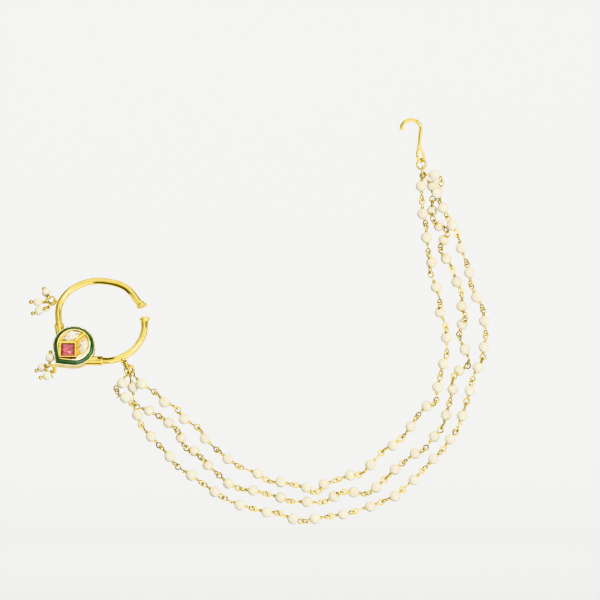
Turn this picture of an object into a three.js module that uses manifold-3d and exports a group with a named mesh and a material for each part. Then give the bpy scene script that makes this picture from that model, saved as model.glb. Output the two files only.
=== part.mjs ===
// A bridal nose ring: a gold hoop with an enamelled, stone-set pendant, two bunches of
// small pearls, and a three-strand pearl chain that ends in a hair hook.
// Millimetres, +Z up, +X from the nose towards the ear, +Y away from the side that shows.
// The origin is the middle of the gap between the hoop's two end pads, where the nostril sits.

import * as THREE from 'three';
import { mergeVertices } from 'three/addons/utils/BufferGeometryUtils.js';
import Module from 'manifold-3d';

const wasm = await Module();
wasm.setup();

// Hoop
const hoopRadius = 16.5;
const hoopTube = 2.5;
const leanBack = 21.5;
const nostrilGap = 4.9;
const gapDirection = 12.3;
const padDiameter = 3.9;
const padLength = 1.8;

// Form of an end pad: how far along it, and how much of its flare over the tube
const padForm = [
  { along: 0.15, flare: 0 },
  { along: 0.45, flare: 0.33 },
  { along: 0.68, flare: 0.85 },
  { along: 0.8, flare: 1 },
  { along: 0.92, flare: 0.97 },
  { along: 1, flare: 0.8 },
];

// Form of the hoop's tube: where it lies round the hoop, and how far out as a share of its radius
const upperForm = [
  { angle: 57, reach: 0.995 },
  { angle: 90, reach: 0.99 },
  { angle: 110, reach: 1.018 },
  { angle: 122, reach: 1.028 },
  { angle: 134, reach: 1.052 },
  { angle: 147, reach: 1.055 },
  { angle: 157, reach: 1.05 },
  { angle: 168, reach: 1.018 },
];
const lowerForm = [
  { angle: -2, reach: 0.995 },
  { angle: -14, reach: 1.02 },
  { angle: -26, reach: 1.03 },
  { angle: -39, reach: 1.036 },
  { angle: -50, reach: 1.028 },
  { angle: -67, reach: 1.015 },
  { angle: -78, reach: 1.0 },
];

// Ferrules that join the hoop to the pendant
const ferruleMouth = 3.75;
const ferruleLip = 0.6;
const upperFerrule = {
  mouthAngle: 187.2, mouthReach: 0.979, shoulder: 0.9, caseAngle: 138, tail: 3.2,
};
const lowerFerrule = {
  mouthAngle: 271.2, mouthReach: 0.982, shoulder: 0.4, caseAngle: -50.5, tail: 3.3,
};
const ferruleSink = 0.9;

// Pendant, a teardrop whose corner points away from the middle of the hoop
const pendantDirection = 226.5;
const pendantInset = 1.67;
const cornerReach = 1.25;
const faceRadius = 6.5;
const rimWidth = 0.7;
const bandWidth = 1.2;
const bandRise = 1.45;
const bandThickness = 0.55;
const bandTop = 0.18;
const flangeWidth = 0.35;
const caseWall = 3.9;
const faceHeight = 3.2;
const floorDrop = 0.7;
const edgeRound = 0.35;

// Stones and their gold cells, placed on the face from the middle of the teardrop
const stoneGap = 0.12;
const pocketDepth = 1.4;
const squareStone = { right: -2.24, up: -2.1, side: 4.8, rise: 0.3 };
const squareFrameWidth = 0.8;
const squareFrameRise = 0.25;
const upperLeaf = { right: -1.0, up: 3.7, length: 7.2, width: 3.6, turn: 23, rise: 0.05 };
const sideLeaf = { right: 3.65, up: -0.35, length: 6.6, width: 3.3, turn: 77, rise: 0.05 };
const leafFrameWidth = 0.3;
const leafFrameRise = 0.35;
const leafTable = 0.62;
const divider = { right: 2.37, up: 3.33, length: 4.9, width: 0.9, turn: 40, rise: 0.05 };

// Step cut of the square stone: how much of its side, and how much of its rise over the rim
const squareSteps = [
  { across: 1, rise: 0 },
  { across: 0.8, rise: 0.7 },
  { across: 0.55, rise: 1 },
];

// Wire, rings and eyes
const wireDiameter = 0.44;
const eyeRadius = 0.95;
const ringRadius = 1.6;
const ringWire = 0.6;
const eyeletRadius = 0.9;
const eyeletWire = 0.6;
const eyeletBite = 0.15;
const linkGap = 0.15;

// Bunches of small pearls on head pins
const smallPearl = 3.2;
const pinBall = 1.65;
const boreGap = 0.12;
const seatGap = 0.1;
const upperBunchAngle = 155;
const upperBunchTurn = 171;
const lowerBunchTurn = 212;
// ring: where the pin's eye hangs on the ring; aim: which way the pin points; lift: towards
// the side that shows; neck: bare wire as a share of the pearl
const upperPins = [
  { ring: 121, aim: 114, lift: -30, neck: 0.07 },
  { ring: 197, aim: 179, lift: 2, neck: 0.25 },
  { ring: 250, aim: 198, lift: -16, neck: 0.78 },
];
const lowerPins = [
  { ring: 99, aim: 87, lift: -12, neck: 0.07 },
  { ring: 141, aim: 200, lift: -31, neck: 0.07 },
  { ring: 278, aim: 202, lift: 11, neck: 0.07 },
];

// Chain: the reach and the rise run from the collecting ring to the gathering ring
const chainReach = 111.3;
const chainRise = 75.6;
const beadDiameter = 4.0;
const chainAngle = -62;
const linkRadius = 1.4;
const linkWire = 0.7;
const linkTurn = -60;
const collectorRadius = 1.7;
const strandLane = 2.1;
const strandStep = 8.0;
const neckWire = 0.6;
const strandCap = 1.0;
const stemGap = 0.3;
const bunchSpread = 0.75;

// Routes of the three strands, as chosen bead centres measured from the collecting ring:
// shares of the chain's reach across and of its rise
const innerRoute = [
  { bead: 1, across: 0.043, up: -0.07 },
  { bead: 3, across: 0.189, up: -0.247 },
  { bead: 5, across: 0.336, up: -0.446 },
  { bead: 6, across: 0.438, up: -0.519 },
  { bead: 8, across: 0.604, up: -0.59 },
  { bead: 9, across: 0.664, up: -0.574 },
  { bead: 11, across: 0.823, up: -0.476 },
  { bead: 13, across: 0.96, up: -0.284 },
  { bead: 15, across: 1.051, up: -0.086 },
  { bead: 17, across: 1.081, up: 0.163 },
  { bead: 19, across: 1.046, up: 0.415 },
  { bead: 21, across: 1.013, up: 0.664 },
  { bead: 23, across: 0.995, up: 0.922 },
];
const middleRoute = [
  { bead: 1, across: 0.007, up: -0.083 },
  { bead: 2, across: 0.067, up: -0.205 },
  { bead: 4, across: 0.177, up: -0.341 },
  { bead: 6, across: 0.268, up: -0.478 },
  { bead: 7, across: 0.339, up: -0.569 },
  { bead: 8, across: 0.424, up: -0.604 },
  { bead: 10, across: 0.606, up: -0.663 },
  { bead: 12, across: 0.765, up: -0.614 },
  { bead: 13, across: 0.843, up: -0.59 },
  { bead: 14, across: 0.907, up: -0.5 },
  { bead: 16, across: 1.041, up: -0.335 },
  { bead: 18, across: 1.104, up: -0.098 },
  { bead: 20, across: 1.145, up: 0.103 },
  { bead: 22, across: 1.134, up: 0.319 },
  { bead: 24, across: 1.081, up: 0.558 },
  { bead: 26, across: 1.056, up: 0.722 },
  { bead: 27, across: 1.034, up: 0.8 },
  { bead: 28, across: 1.033, up: 0.931 },
];
const outerRoute = [
  { bead: 1, across: -0.025, up: -0.063 },
  { bead: 2, across: -0.014, up: -0.136 },
  { bead: 4, across: 0.076, up: -0.333 },
  { bead: 6, across: 0.212, up: -0.528 },
  { bead: 8, across: 0.378, up: -0.677 },
  { bead: 10, across: 0.558, up: -0.746 },
  { bead: 11, across: 0.633, up: -0.745 },
  { bead: 13, across: 0.822, up: -0.683 },
  { bead: 15, across: 0.973, up: -0.549 },
  { bead: 17, across: 1.094, up: -0.347 },
  { bead: 19, across: 1.161, up: -0.104 },
  { bead: 21, across: 1.209, up: 0.114 },
  { bead: 22, across: 1.209, up: 0.246 },
  { bead: 24, across: 1.159, up: 0.488 },
  { bead: 26, across: 1.1, up: 0.728 },
  { bead: 27, across: 1.069, up: 0.813 },
  { bead: 28, across: 1.049, up: 0.886 },
  { bead: 29, across: 1.04, up: 0.98 },
];

// Hair hook
const gatherRadius = 1.7;
const hookRingRadius = 1.95;
const hookRingWire = 0.76;
const hookRingTurn = -35;
const hookEyeTurn = 45;
const hookRingLean = 10;
const hookWire = 1.3;
const hookEyeWire = 0.95;
const hookBend = 3.8;
const hookDrop = 6.0;
const hookEyeLength = 6.1;
const hookEyeWidth = 3.5;
const hookEyeShift = 0.9;
const hookArc = { tip: 181, shank: 18 };
const hookShift = 3.0;
const shankEase = 0.4;
const hookRingSlack = 0.35;

// Form of each half of the hook's eye: how far up it, and how much of its half width
const hookEyeForm = [
  { along: 1, wide: 0 },
  { along: 0.42, wide: 1 },
  { along: 0.07, wide: 0.6 },
  { along: 0, wide: -0.16 },
];

// Sides and steps of the round pieces
const tubeSides = 12;
const tubeSteps = { upper: 30, lower: 22 };
const wireSides = 5;
const ringWireSides = 6;
const ringSides = 12;
const eyeSides = 10;
const beadSides = 10;
const beadRows = 6;
const boreSides = 6;
const hookSteps = { arc: 8, shank: 18, eye: 9 };
const caseSides = 40;
const stoneSides = 16;
const strandSides = 8;
const hookSides = 8;

const gold = { color: 0xd9a93a, roughness: 0.22, metalness: 1 };
const wireGold = { color: 0xcf9d38, roughness: 0.3, metalness: 1 };
const pearlWhite = { color: 0xefe6d3, roughness: 0.28, metalness: 0 };
const greenEnamel = { color: 0x12603a, roughness: 0.12, metalness: 0 };
const rubyPink = { color: 0xb8274e, roughness: 0.08, metalness: 0 };
const clearStone = { color: 0xe9e6dc, roughness: 0.08, metalness: 0 };

const radians = THREE.MathUtils.degToRad;
const up = new THREE.Vector3(0, 1, 0);
const axle = new THREE.Vector3(0, 0, 1);
const pearlRadius = smallPearl / 2;
const beadRadius = beadDiameter / 2;
const wireRadius = wireDiameter / 2;

// A closed solid from a geometry: seams welded and collapsed triangles dropped
function solidOf(geometry) {
  const bare = new THREE.BufferGeometry();
  bare.setAttribute('position', geometry.getAttribute('position').clone());
  if (geometry.index) bare.setIndex(geometry.index.clone());
  const welded = mergeVertices(bare, 1e-4);
  const corners = welded.index.array;
  const kept = [];
  for (let i = 0; i < corners.length; i += 3) {
    const [a, b, c] = corners.slice(i, i + 3);
    if (a !== b && b !== c && c !== a) kept.push(a, b, c);
  }
  return new wasm.Manifold(new wasm.Mesh({
    numProp: 3,
    vertProperties: new Float32Array(welded.getAttribute('position').array),
    triVerts: new Uint32Array(kept),
  }));
}

function geometryOf(solid) {
  const mesh = solid.getMesh();
  const geometry = new THREE.BufferGeometry();
  geometry.setAttribute('position', new THREE.BufferAttribute(mesh.vertProperties, 3));
  geometry.setIndex(new THREE.BufferAttribute(mesh.triVerts, 1));
  geometry.computeVertexNormals();
  return geometry;
}

function joined(geometries) {
  return geometries.map(solidOf).reduce((whole, piece) => whole.add(piece));
}

function piece(name, solid, look) {
  const mesh = new THREE.Mesh(geometryOf(solid), new THREE.MeshStandardMaterial(look));
  mesh.name = name;
  return mesh;
}

// The point at a distance from another, in the plane that shows, by its angle in degrees
function polar(centre, distance, degrees) {
  const angle = radians(degrees);
  const offset = new THREE.Vector3(Math.cos(angle), 0, Math.sin(angle));
  return offset.multiplyScalar(distance).add(centre);
}

function circleShape(radius, sides) {
  const turn = 2 * Math.PI / sides;
  const points = Array.from({ length: sides }, (_, i) => (
    new THREE.Vector2(radius * Math.cos(i * turn), radius * Math.sin(i * turn))
  ));
  return new THREE.Shape(points);
}

// A round wire or tube through points
function bentWire(points, radius, sides, steps) {
  const extrudePath = new THREE.CatmullRomCurve3(points, false, 'centripetal');
  return new THREE.ExtrudeGeometry(circleShape(radius, sides), { steps, extrudePath });
}

function straightWire(from, to, radius, sides) {
  const length = from.distanceTo(to);
  const rod = new THREE.CylinderGeometry(radius, radius, length, sides);
  return aimed(rod.translate(0, length / 2, 0), from, to.clone().sub(from));
}

// A geometry made along +Y, moved to start at a point and run in a direction
function aimed(geometry, start, direction) {
  const turn = new THREE.Quaternion().setFromUnitVectors(up, direction.clone().normalize());
  return geometry.applyQuaternion(turn).translate(start.x, start.y, start.z);
}

function ring(centre, axis, radius, wire, sides = wireSides, segments = ringSides) {
  const turn = new THREE.Quaternion().setFromUnitVectors(axle, axis.clone().normalize());
  const torus = new THREE.TorusGeometry(radius, wire / 2, sides, segments);
  return torus.applyQuaternion(turn).translate(centre.x, centre.y, centre.z);
}

// A turned body about +Y whose outline swells by reach(angle), the angle in degrees from +X
function turned(rows, sides, reach = () => 1) {
  const profile = rows.map((row) => new THREE.Vector2(row.radius, row.height));
  const geometry = new THREE.LatheGeometry(profile, sides);
  const places = geometry.getAttribute('position');
  for (let i = 0; i < places.count; i += 1) {
    const swell = reach(THREE.MathUtils.radToDeg(Math.atan2(-places.getZ(i), places.getX(i))));
    places.setXYZ(i, places.getX(i) * swell, places.getY(i), places.getZ(i) * swell);
  }
  return geometry;
}

// Turns such a body to face the side that shows, turned in its plane and set at a place
function facing(geometry, turnDegrees, place) {
  return geometry.rotateX(Math.PI).rotateY(-radians(turnDegrees)).translate(place.x, place.y, place.z);
}

// Outline of the teardrop: a circle with two straight sides that meet in a corner at 0 degrees
function teardropReach(degrees) {
  const flank = THREE.MathUtils.radToDeg(Math.acos(1 / cornerReach));
  const away = Math.abs(degrees);
  return away < flank ? 1 / Math.cos(radians(flank - away)) : 1;
}

function squareReach(degrees) {
  const angle = radians(degrees);
  return 1 / Math.max(Math.abs(Math.cos(angle)), Math.abs(Math.sin(angle)));
}

// Outline of a leaf: two arcs that meet in a tip at each end, for a half length of 1
function leafReach(slimness) {
  const arcRadius = (1 + slimness ** 2) / (2 * slimness);
  const drop = arcRadius - slimness;
  return (degrees) => {
    const angle = radians(degrees);
    const along = drop * Math.cos(angle);
    return Math.sqrt(arcRadius ** 2 - along ** 2) - drop * Math.abs(Math.sin(angle));
  };
}

// Places on the hoop, in its own flat frame before it leans back
const gapHalfAngle = THREE.MathUtils.radToDeg(Math.asin(nostrilGap / 2 / hoopRadius));
const hoopCentre = polar(new THREE.Vector3(), hoopRadius, gapDirection + 180);
const onHoop = (angle, reach = 1) => polar(hoopCentre, hoopRadius * reach, angle);
const pendantCentre = polar(hoopCentre, hoopRadius - pendantInset, pendantDirection);
const frontEnd = onHoop(gapDirection - gapHalfAngle);
const rearEnd = onHoop(gapDirection + gapHalfAngle);
const caseRadius = faceRadius + bandWidth + flangeWidth;
const ledgeHeight = faceHeight - bandRise;
const backHeight = ledgeHeight - caseWall;
const onCase = (angle, sink) => polar(pendantCentre, caseRadius - sink, angle);

function hoopTubes() {
  const upper = [rearEnd, ...upperForm.map((row) => onHoop(row.angle, row.reach))];
  const lower = [frontEnd, ...lowerForm.map((row) => onHoop(row.angle, row.reach))];
  upper.push(onHoop(upperFerrule.mouthAngle, upperFerrule.mouthReach));
  upper.push(onCase(upperFerrule.caseAngle, ferruleSink));
  lower.push(onHoop(lowerFerrule.mouthAngle, lowerFerrule.mouthReach));
  lower.push(onCase(lowerFerrule.caseAngle, ferruleSink));
  return [
    bentWire(upper, hoopTube / 2, tubeSides, tubeSteps.upper),
    bentWire(lower, hoopTube / 2, tubeSides, tubeSteps.lower),
  ];
}

// A flared pad whose flat face looks into the gap
function endPad(end, faceAway) {
  const flare = (padDiameter - hoopTube) / 2;
  const rows = [
    { radius: 0, height: 0 },
    { radius: hoopTube / 2, height: 0 },
    ...padForm.map((row) => (
      { radius: hoopTube / 2 + flare * row.flare, height: padLength * row.along }
    )),
    { radius: 0, height: padLength },
  ];
  const start = end.clone().addScaledVector(faceAway, -padLength);
  return aimed(turned(rows, tubeSides), start, faceAway);
}

function endPads() {
  const acrossFront = polar(new THREE.Vector3(), 1, gapDirection - gapHalfAngle + 90);
  const acrossRear = polar(new THREE.Vector3(), 1, gapDirection + gapHalfAngle - 90);
  return [endPad(frontEnd, acrossFront), endPad(rearEnd, acrossRear)];
}

function ferrule(size) {
  const mouth = onHoop(size.mouthAngle, size.mouthReach);
  const tail = onCase(size.caseAngle, ferruleSink);
  const length = mouth.distanceTo(tail);
  const rows = [
    { radius: 0, height: 0 },
    { radius: size.tail / 2, height: 0 },
    { radius: ferruleMouth / 2, height: length - ferruleLip },
    { radius: ferruleMouth / 2, height: length },
    { radius: hoopTube / 2, height: length + size.shoulder },
    { radius: 0, height: length + size.shoulder },
  ];
  return aimed(turned(rows, tubeSides), tail, mouth.clone().sub(tail));
}

function caseBody() {
  const rows = [
    { radius: 0, height: backHeight },
    { radius: caseRadius - edgeRound, height: backHeight },
    { radius: caseRadius, height: backHeight + edgeRound },
    { radius: caseRadius, height: ledgeHeight - stoneGap - edgeRound / 2 },
    { radius: caseRadius - edgeRound / 2, height: ledgeHeight - stoneGap },
    { radius: faceRadius + bandWidth - bandThickness - stoneGap, height: ledgeHeight - stoneGap },
    { radius: faceRadius, height: faceHeight - edgeRound / 2 },
    { radius: faceRadius - edgeRound / 2, height: faceHeight },
    { radius: faceRadius - rimWidth, height: faceHeight },
    { radius: faceRadius - rimWidth, height: faceHeight - floorDrop },
    { radius: 0, height: faceHeight - floorDrop },
  ];
  return facing(turned(rows, caseSides, teardropReach), pendantDirection, pendantCentre);
}

function enamelBand() {
  const top = faceHeight - edgeRound / 2;
  const rows = [
    { radius: faceRadius + bandWidth, height: ledgeHeight },
    { radius: faceRadius + stoneGap + bandTop, height: top },
    { radius: faceRadius + stoneGap, height: top },
    { radius: faceRadius + bandWidth - bandThickness, height: ledgeHeight },
    { radius: faceRadius + bandWidth, height: ledgeHeight },
  ];
  return facing(turned(rows, caseSides, teardropReach), pendantDirection, pendantCentre);
}

function onFace(stone) {
  return new THREE.Vector3(stone.right, 0, stone.up).add(pendantCentre);
}

// A straight-sided block with one of the outlines, between two heights over the hoop's plane
function block(halfSize, reach, from, to, turn, place) {
  const rows = [
    { radius: 0, height: from },
    { radius: halfSize, height: from },
    { radius: halfSize, height: to },
    { radius: 0, height: to },
  ];
  return facing(turned(rows, stoneSides, reach), turn, place);
}

function leafBlock(leaf, grow, from, to) {
  const half = leaf.length / 2 + grow;
  const reach = leafReach((leaf.width / 2 + grow) / half);
  return block(half, reach, from, to, leaf.turn, onFace(leaf));
}

const cellFloor = faceHeight - pocketDepth;

function leafStone(leaf) {
  const half = leaf.length / 2;
  const girdle = faceHeight - floorDrop + leafFrameRise;
  const rows = [
    { radius: 0, height: cellFloor + stoneGap },
    { radius: half, height: cellFloor + stoneGap },
    { radius: half, height: girdle },
    { radius: half * leafTable, height: faceHeight + leaf.rise },
    { radius: 0, height: faceHeight + leaf.rise },
  ];
  const reach = leafReach(leaf.width / leaf.length);
  return facing(turned(rows, stoneSides, reach), leaf.turn, onFace(leaf));
}

function squareCutStone() {
  const half = squareStone.side / 2;
  const rows = [
    { radius: 0, height: cellFloor + stoneGap },
    { radius: half, height: cellFloor + stoneGap },
    ...squareSteps.map((row) => (
      { radius: half * row.across, height: faceHeight + squareStone.rise * row.rise }
    )),
    { radius: 0, height: faceHeight + squareStone.rise },
  ];
  return facing(turned(rows, stoneSides, squareReach), 0, onFace(squareStone));
}

// The soldered gold body: hoop, pads, ferrules, case, cells and eyelets
function goldBody() {
  const floor = faceHeight - floorDrop;
  const squareHalf = squareStone.side / 2;
  const squareFrame = block(
    squareHalf + stoneGap + squareFrameWidth, squareReach, cellFloor,
    faceHeight + squareFrameRise, 0, onFace(squareStone),
  );
  const bar = new THREE.BoxGeometry(divider.length, divider.width, pocketDepth);
  bar.rotateX(Math.PI / 2).rotateY(-radians(divider.turn));
  const barPlace = onFace(divider);
  bar.translate(barPlace.x, pocketDepth / 2 - faceHeight - divider.rise, barPlace.z);
  const whole = joined([
    ...hoopTubes(), ...endPads(), ferrule(upperFerrule), ferrule(lowerFerrule), caseBody(),
    squareFrame, bar, ...[upperLeaf, sideLeaf].map((leaf) => (
      leafBlock(leaf, stoneGap + leafFrameWidth, cellFloor, floor + leafFrameRise)
    )),
    upperEyelet.geometry, lowerEyelet.geometry, chainEyelet.geometry,
  ]);
  const above = faceHeight * 2;
  const pockets = joined([
    block(squareHalf + stoneGap, squareReach, cellFloor, above, 0, onFace(squareStone)),
    leafBlock(upperLeaf, stoneGap, cellFloor, above),
    leafBlock(sideLeaf, stoneGap, cellFloor, above),
  ]);
  return whole.subtract(pockets);
}

// An eyelet soldered with its rim in the metal it stands on; its axis runs along that metal or
// out of the plane that shows
function eyelet(surface, outward, axis) {
  const centre = surface.clone().addScaledVector(outward, eyeletRadius - eyeletBite);
  return { centre, geometry: ring(centre, axis, eyeletRadius, eyeletWire, ringWireSides) };
}

const viewAxis = new THREE.Vector3(0, 1, 0);

// The outer side of the hoop's tube at an angle, from the form it follows there
function hoopSurface(form, angle) {
  const past = form.findIndex((row) => Math.abs(row.angle) > Math.abs(angle));
  const [a, b] = [form[past - 1], form[past]];
  const share = (angle - a.angle) / (b.angle - a.angle);
  const reach = THREE.MathUtils.lerp(a.reach, b.reach, share);
  const outward = polar(new THREE.Vector3(), 1, angle);
  return { outward, surface: onHoop(angle, reach).addScaledVector(outward, hoopTube / 2) };
}

const upperSpot = hoopSurface(upperForm, upperBunchAngle);
const upperAlong = polar(new THREE.Vector3(), 1, upperBunchAngle + 90);
const upperEyelet = eyelet(upperSpot.surface, upperSpot.outward, upperAlong);
const lowerOutward = polar(new THREE.Vector3(), 1, pendantDirection);
const lowerAlong = polar(new THREE.Vector3(), 1, pendantDirection + 90);
const lowerEyelet = eyelet(
  polar(pendantCentre, (caseRadius - edgeRound / 2) * cornerReach, pendantDirection),
  lowerOutward, lowerAlong,
);
const chainSpot = hoopSurface(lowerForm, chainAngle);
const chainEyelet = eyelet(chainSpot.surface, chainSpot.outward, viewAxis);

// How far apart the centres of two linked rings lie when they hang taut
function linkedReach(radiusA, wireA, radiusB, wireB) {
  return radiusA + radiusB - wireA / 2 - wireB / 2 - linkGap;
}

// A bunch: a ring through an eyelet, and pins whose eyes hang on the ring
function bunch(name, eyeletCentre, direction, pins) {
  const group = new THREE.Group();
  const reach = linkedReach(eyeletRadius, eyeletWire, ringRadius, ringWire);
  const centre = polar(eyeletCentre, reach, direction);
  const loop = ring(centre, viewAxis, ringRadius, ringWire, ringWireSides);
  group.add(piece(`${name}_bunch_ring`, solidOf(loop), wireGold));
  pins.forEach((pin, index) => {
    const number = index + 1;
    const eyeReach = linkedReach(ringRadius, ringWire, eyeRadius, wireDiameter);
    const eyeCentre = polar(centre, eyeReach, pin.ring);
    const along = polar(new THREE.Vector3(), 1, pin.ring + 90);
    const aim = polar(new THREE.Vector3(), Math.cos(radians(pin.lift)), pin.aim);
    aim.y = -Math.sin(radians(pin.lift));
    const rim = aim.clone().addScaledVector(along, -aim.dot(along)).normalize();
    const start = eyeCentre.clone().addScaledVector(rim, eyeRadius);
    const pearlCentre = start.clone().addScaledVector(aim, smallPearl * pin.neck + pearlRadius);
    const ballReach = pearlRadius + pinBall / 2 + seatGap;
    const ballCentre = pearlCentre.clone().addScaledVector(aim, ballReach);
    const ball = new THREE.SphereGeometry(pinBall / 2, beadSides, beadRows);
    ball.translate(ballCentre.x, ballCentre.y, ballCentre.z);
    const pinSolid = joined([
      ring(eyeCentre, along, eyeRadius, wireDiameter),
      straightWire(start, ballCentre, wireRadius, wireSides), ball,
    ]);
    group.add(piece(`${name}_pin_${number}`, pinSolid, wireGold));
    const pearl = new THREE.SphereGeometry(pearlRadius, beadSides, beadRows);
    pearl.translate(pearlCentre.x, pearlCentre.y, pearlCentre.z);
    const boreFrom = pearlCentre.clone().addScaledVector(aim, -smallPearl);
    const boreTo = pearlCentre.clone().addScaledVector(aim, smallPearl);
    const bore = straightWire(boreFrom, boreTo, wireRadius + boreGap, boreSides);
    const bored = solidOf(pearl).subtract(solidOf(bore));
    group.add(piece(`${name}_pearl_${number}`, bored, pearlWhite));
  });
  return group;
}

const noseRing = new THREE.Group();
noseRing.rotation.x = -radians(leanBack);
noseRing.add(piece('hoop_and_case', goldBody(), gold));
noseRing.add(piece('enamel_band', solidOf(enamelBand()), greenEnamel));
noseRing.add(piece('square_stone', solidOf(squareCutStone()), rubyPink));
noseRing.add(piece('upper_leaf_stone', solidOf(leafStone(upperLeaf)), clearStone));
noseRing.add(piece('side_leaf_stone', solidOf(leafStone(sideLeaf)), clearStone));
noseRing.add(bunch('upper', upperEyelet.centre, upperBunchTurn, upperPins));
noseRing.add(bunch('lower', lowerEyelet.centre, lowerBunchTurn, lowerPins));

// The link that hangs in the hoop's third eyelet, edge on to the side that shows
const linkDirection = polar(new THREE.Vector3(), 1, linkTurn);
const linkReach = linkedReach(eyeletRadius, eyeletWire, linkRadius, linkWire);
const linkCentre = chainEyelet.centre.clone().addScaledVector(linkDirection, linkReach);
const linkAxis = polar(new THREE.Vector3(), 1, linkTurn + 90);
const chainLink = ring(linkCentre, linkAxis, linkRadius, linkWire, ringWireSides);
noseRing.add(piece('chain_link', solidOf(chainLink), wireGold));

// The collecting ring hangs upright in that link and carries the three strands
noseRing.updateMatrixWorld(true);
const linkFoot = linkCentre.clone().addScaledVector(linkDirection, linkRadius);
noseRing.localToWorld(linkFoot);
const collectorReach = linkedReach(0, linkWire, collectorRadius, ringWire);
const collectorCentre = polar(linkFoot, collectorReach, linkTurn);

const chain = new THREE.Group();
chain.position.copy(collectorCentre);
const collector = ring(new THREE.Vector3(), viewAxis, collectorRadius, ringWire, ringWireSides);
chain.add(piece('collecting_ring', solidOf(collector), wireGold));

// Bead centres along a route: a smooth curve through the chosen beads, by bead number
function beadCentres(route, lane) {
  const count = route[route.length - 1].bead;
  const slope = (i, share) => {
    const before = route[Math.max(i - 1, 0)];
    const after = route[Math.min(i + 1, route.length - 1)];
    return (after[share] - before[share]) / (after.bead - before.bead);
  };
  const value = (bead, share) => {
    const i = Math.min(route.findLastIndex((row) => row.bead <= bead), route.length - 2);
    const [a, b] = [route[i], route[i + 1]];
    const span = b.bead - a.bead;
    const t = (bead - a.bead) / span;
    const ease = t * t * (3 - 2 * t);
    const bow = span * t * (1 - t) * ((1 - t) * slope(i, share) - t * slope(i + 1, share));
    return a[share] + (b[share] - a[share]) * ease + bow;
  };
  return Array.from({ length: count }, (_, i) => (
    new THREE.Vector3(
      value(i + 1, 'across') * chainReach, lane * strandLane, value(i + 1, 'up') * chainRise,
    )
  ));
}

// A wire eye, and its stem from the rim to an end point
function stem(eyeCentre, axis, end) {
  const inward = end.clone().sub(eyeCentre).normalize();
  const rim = inward.clone().addScaledVector(axis, -inward.dot(axis)).normalize();
  const start = eyeCentre.clone().addScaledVector(rim, eyeRadius);
  return [
    ring(eyeCentre, axis, eyeRadius, wireDiameter, wireSides, eyeSides),
    straightWire(start, end, neckWire / 2, wireSides),
  ];
}

// A strand's first eye hangs on the collecting ring
function firstEye(bead) {
  const angle = THREE.MathUtils.radToDeg(Math.atan2(bead.z, bead.x));
  const reach = linkedReach(collectorRadius, ringWire, eyeRadius, wireDiameter);
  return {
    centre: polar(new THREE.Vector3(), reach, angle),
    axis: polar(new THREE.Vector3(), 1, angle + 90),
  };
}

// A strand's last eye hangs on the gathering ring, beside those of the other strands
const gatherCentre = new THREE.Vector3(chainReach, 0, chainRise);

function lastEye(bead, lane) {
  const across = lane * bunchSpread;
  const drop = Math.sqrt(gatherRadius ** 2 - across ** 2);
  const wirePlace = gatherCentre.clone().add(new THREE.Vector3(0, across, -drop));
  const outward = bead.clone().sub(wirePlace).setY(0).normalize();
  const slack = eyeRadius - wireRadius - ringWire / 2 - linkGap;
  return { centre: wirePlace.addScaledVector(outward, slack), axis: viewAxis };
}

// The point on the line from a bead's centre to its eye, at a distance from the centre
function towards(eye, bead, distance) {
  const outward = eye.centre.clone().sub(bead).normalize();
  return bead.clone().addScaledVector(outward, distance);
}

// A strand as a plain round tube of the beads' size, and the wire stems at its two ends
function strandPieces(name, route, lane) {
  const beads = beadCentres(route, lane);
  const [firstBead, lastBead] = [beads[0], beads[beads.length - 1]];
  const [front, back] = [firstEye(firstBead), lastEye(lastBead, lane)];
  const path = [towards(front, firstBead, strandCap), ...beads, towards(back, lastBead, strandCap)];
  const steps = Math.round(new THREE.CatmullRomCurve3(path).getLength() / strandStep);
  const frontStem = stem(front.centre, front.axis, towards(front, firstBead, strandCap + stemGap));
  const backStem = stem(back.centre, back.axis, towards(back, lastBead, strandCap + stemGap));
  return [
    piece(`${name}_strand`, solidOf(bentWire(path, beadRadius, strandSides, steps)), pearlWhite),
    piece(`${name}_stem_front`, joined(frontStem), wireGold),
    piece(`${name}_stem_back`, joined(backStem), wireGold),
  ];
}

chain.add(...strandPieces('inner', innerRoute, 0));
chain.add(...strandPieces('middle', middleRoute, 1));
chain.add(...strandPieces('outer', outerRoute, -1));

// A level direction, by its turn in degrees from +X towards +Y
function level(degrees) {
  return new THREE.Vector3(Math.cos(radians(degrees)), Math.sin(radians(degrees)), 0);
}

// Rings between the strands and the hook
const gather = ring(gatherCentre, level(0), gatherRadius, ringWire, ringWireSides);
chain.add(piece('gathering_ring', solidOf(gather), wireGold));
const hookRingReach = linkedReach(gatherRadius, ringWire, hookRingRadius, hookRingWire);
const hookRingCentre = polar(gatherCentre, hookRingReach - hookRingSlack, 90 + hookRingLean);
const hookRingAxis = level(hookRingTurn + 90);
const hookLoop = ring(hookRingCentre, hookRingAxis, hookRingRadius, hookRingWire, ringWireSides);
chain.add(piece('hook_ring', solidOf(hookLoop), wireGold));

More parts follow.
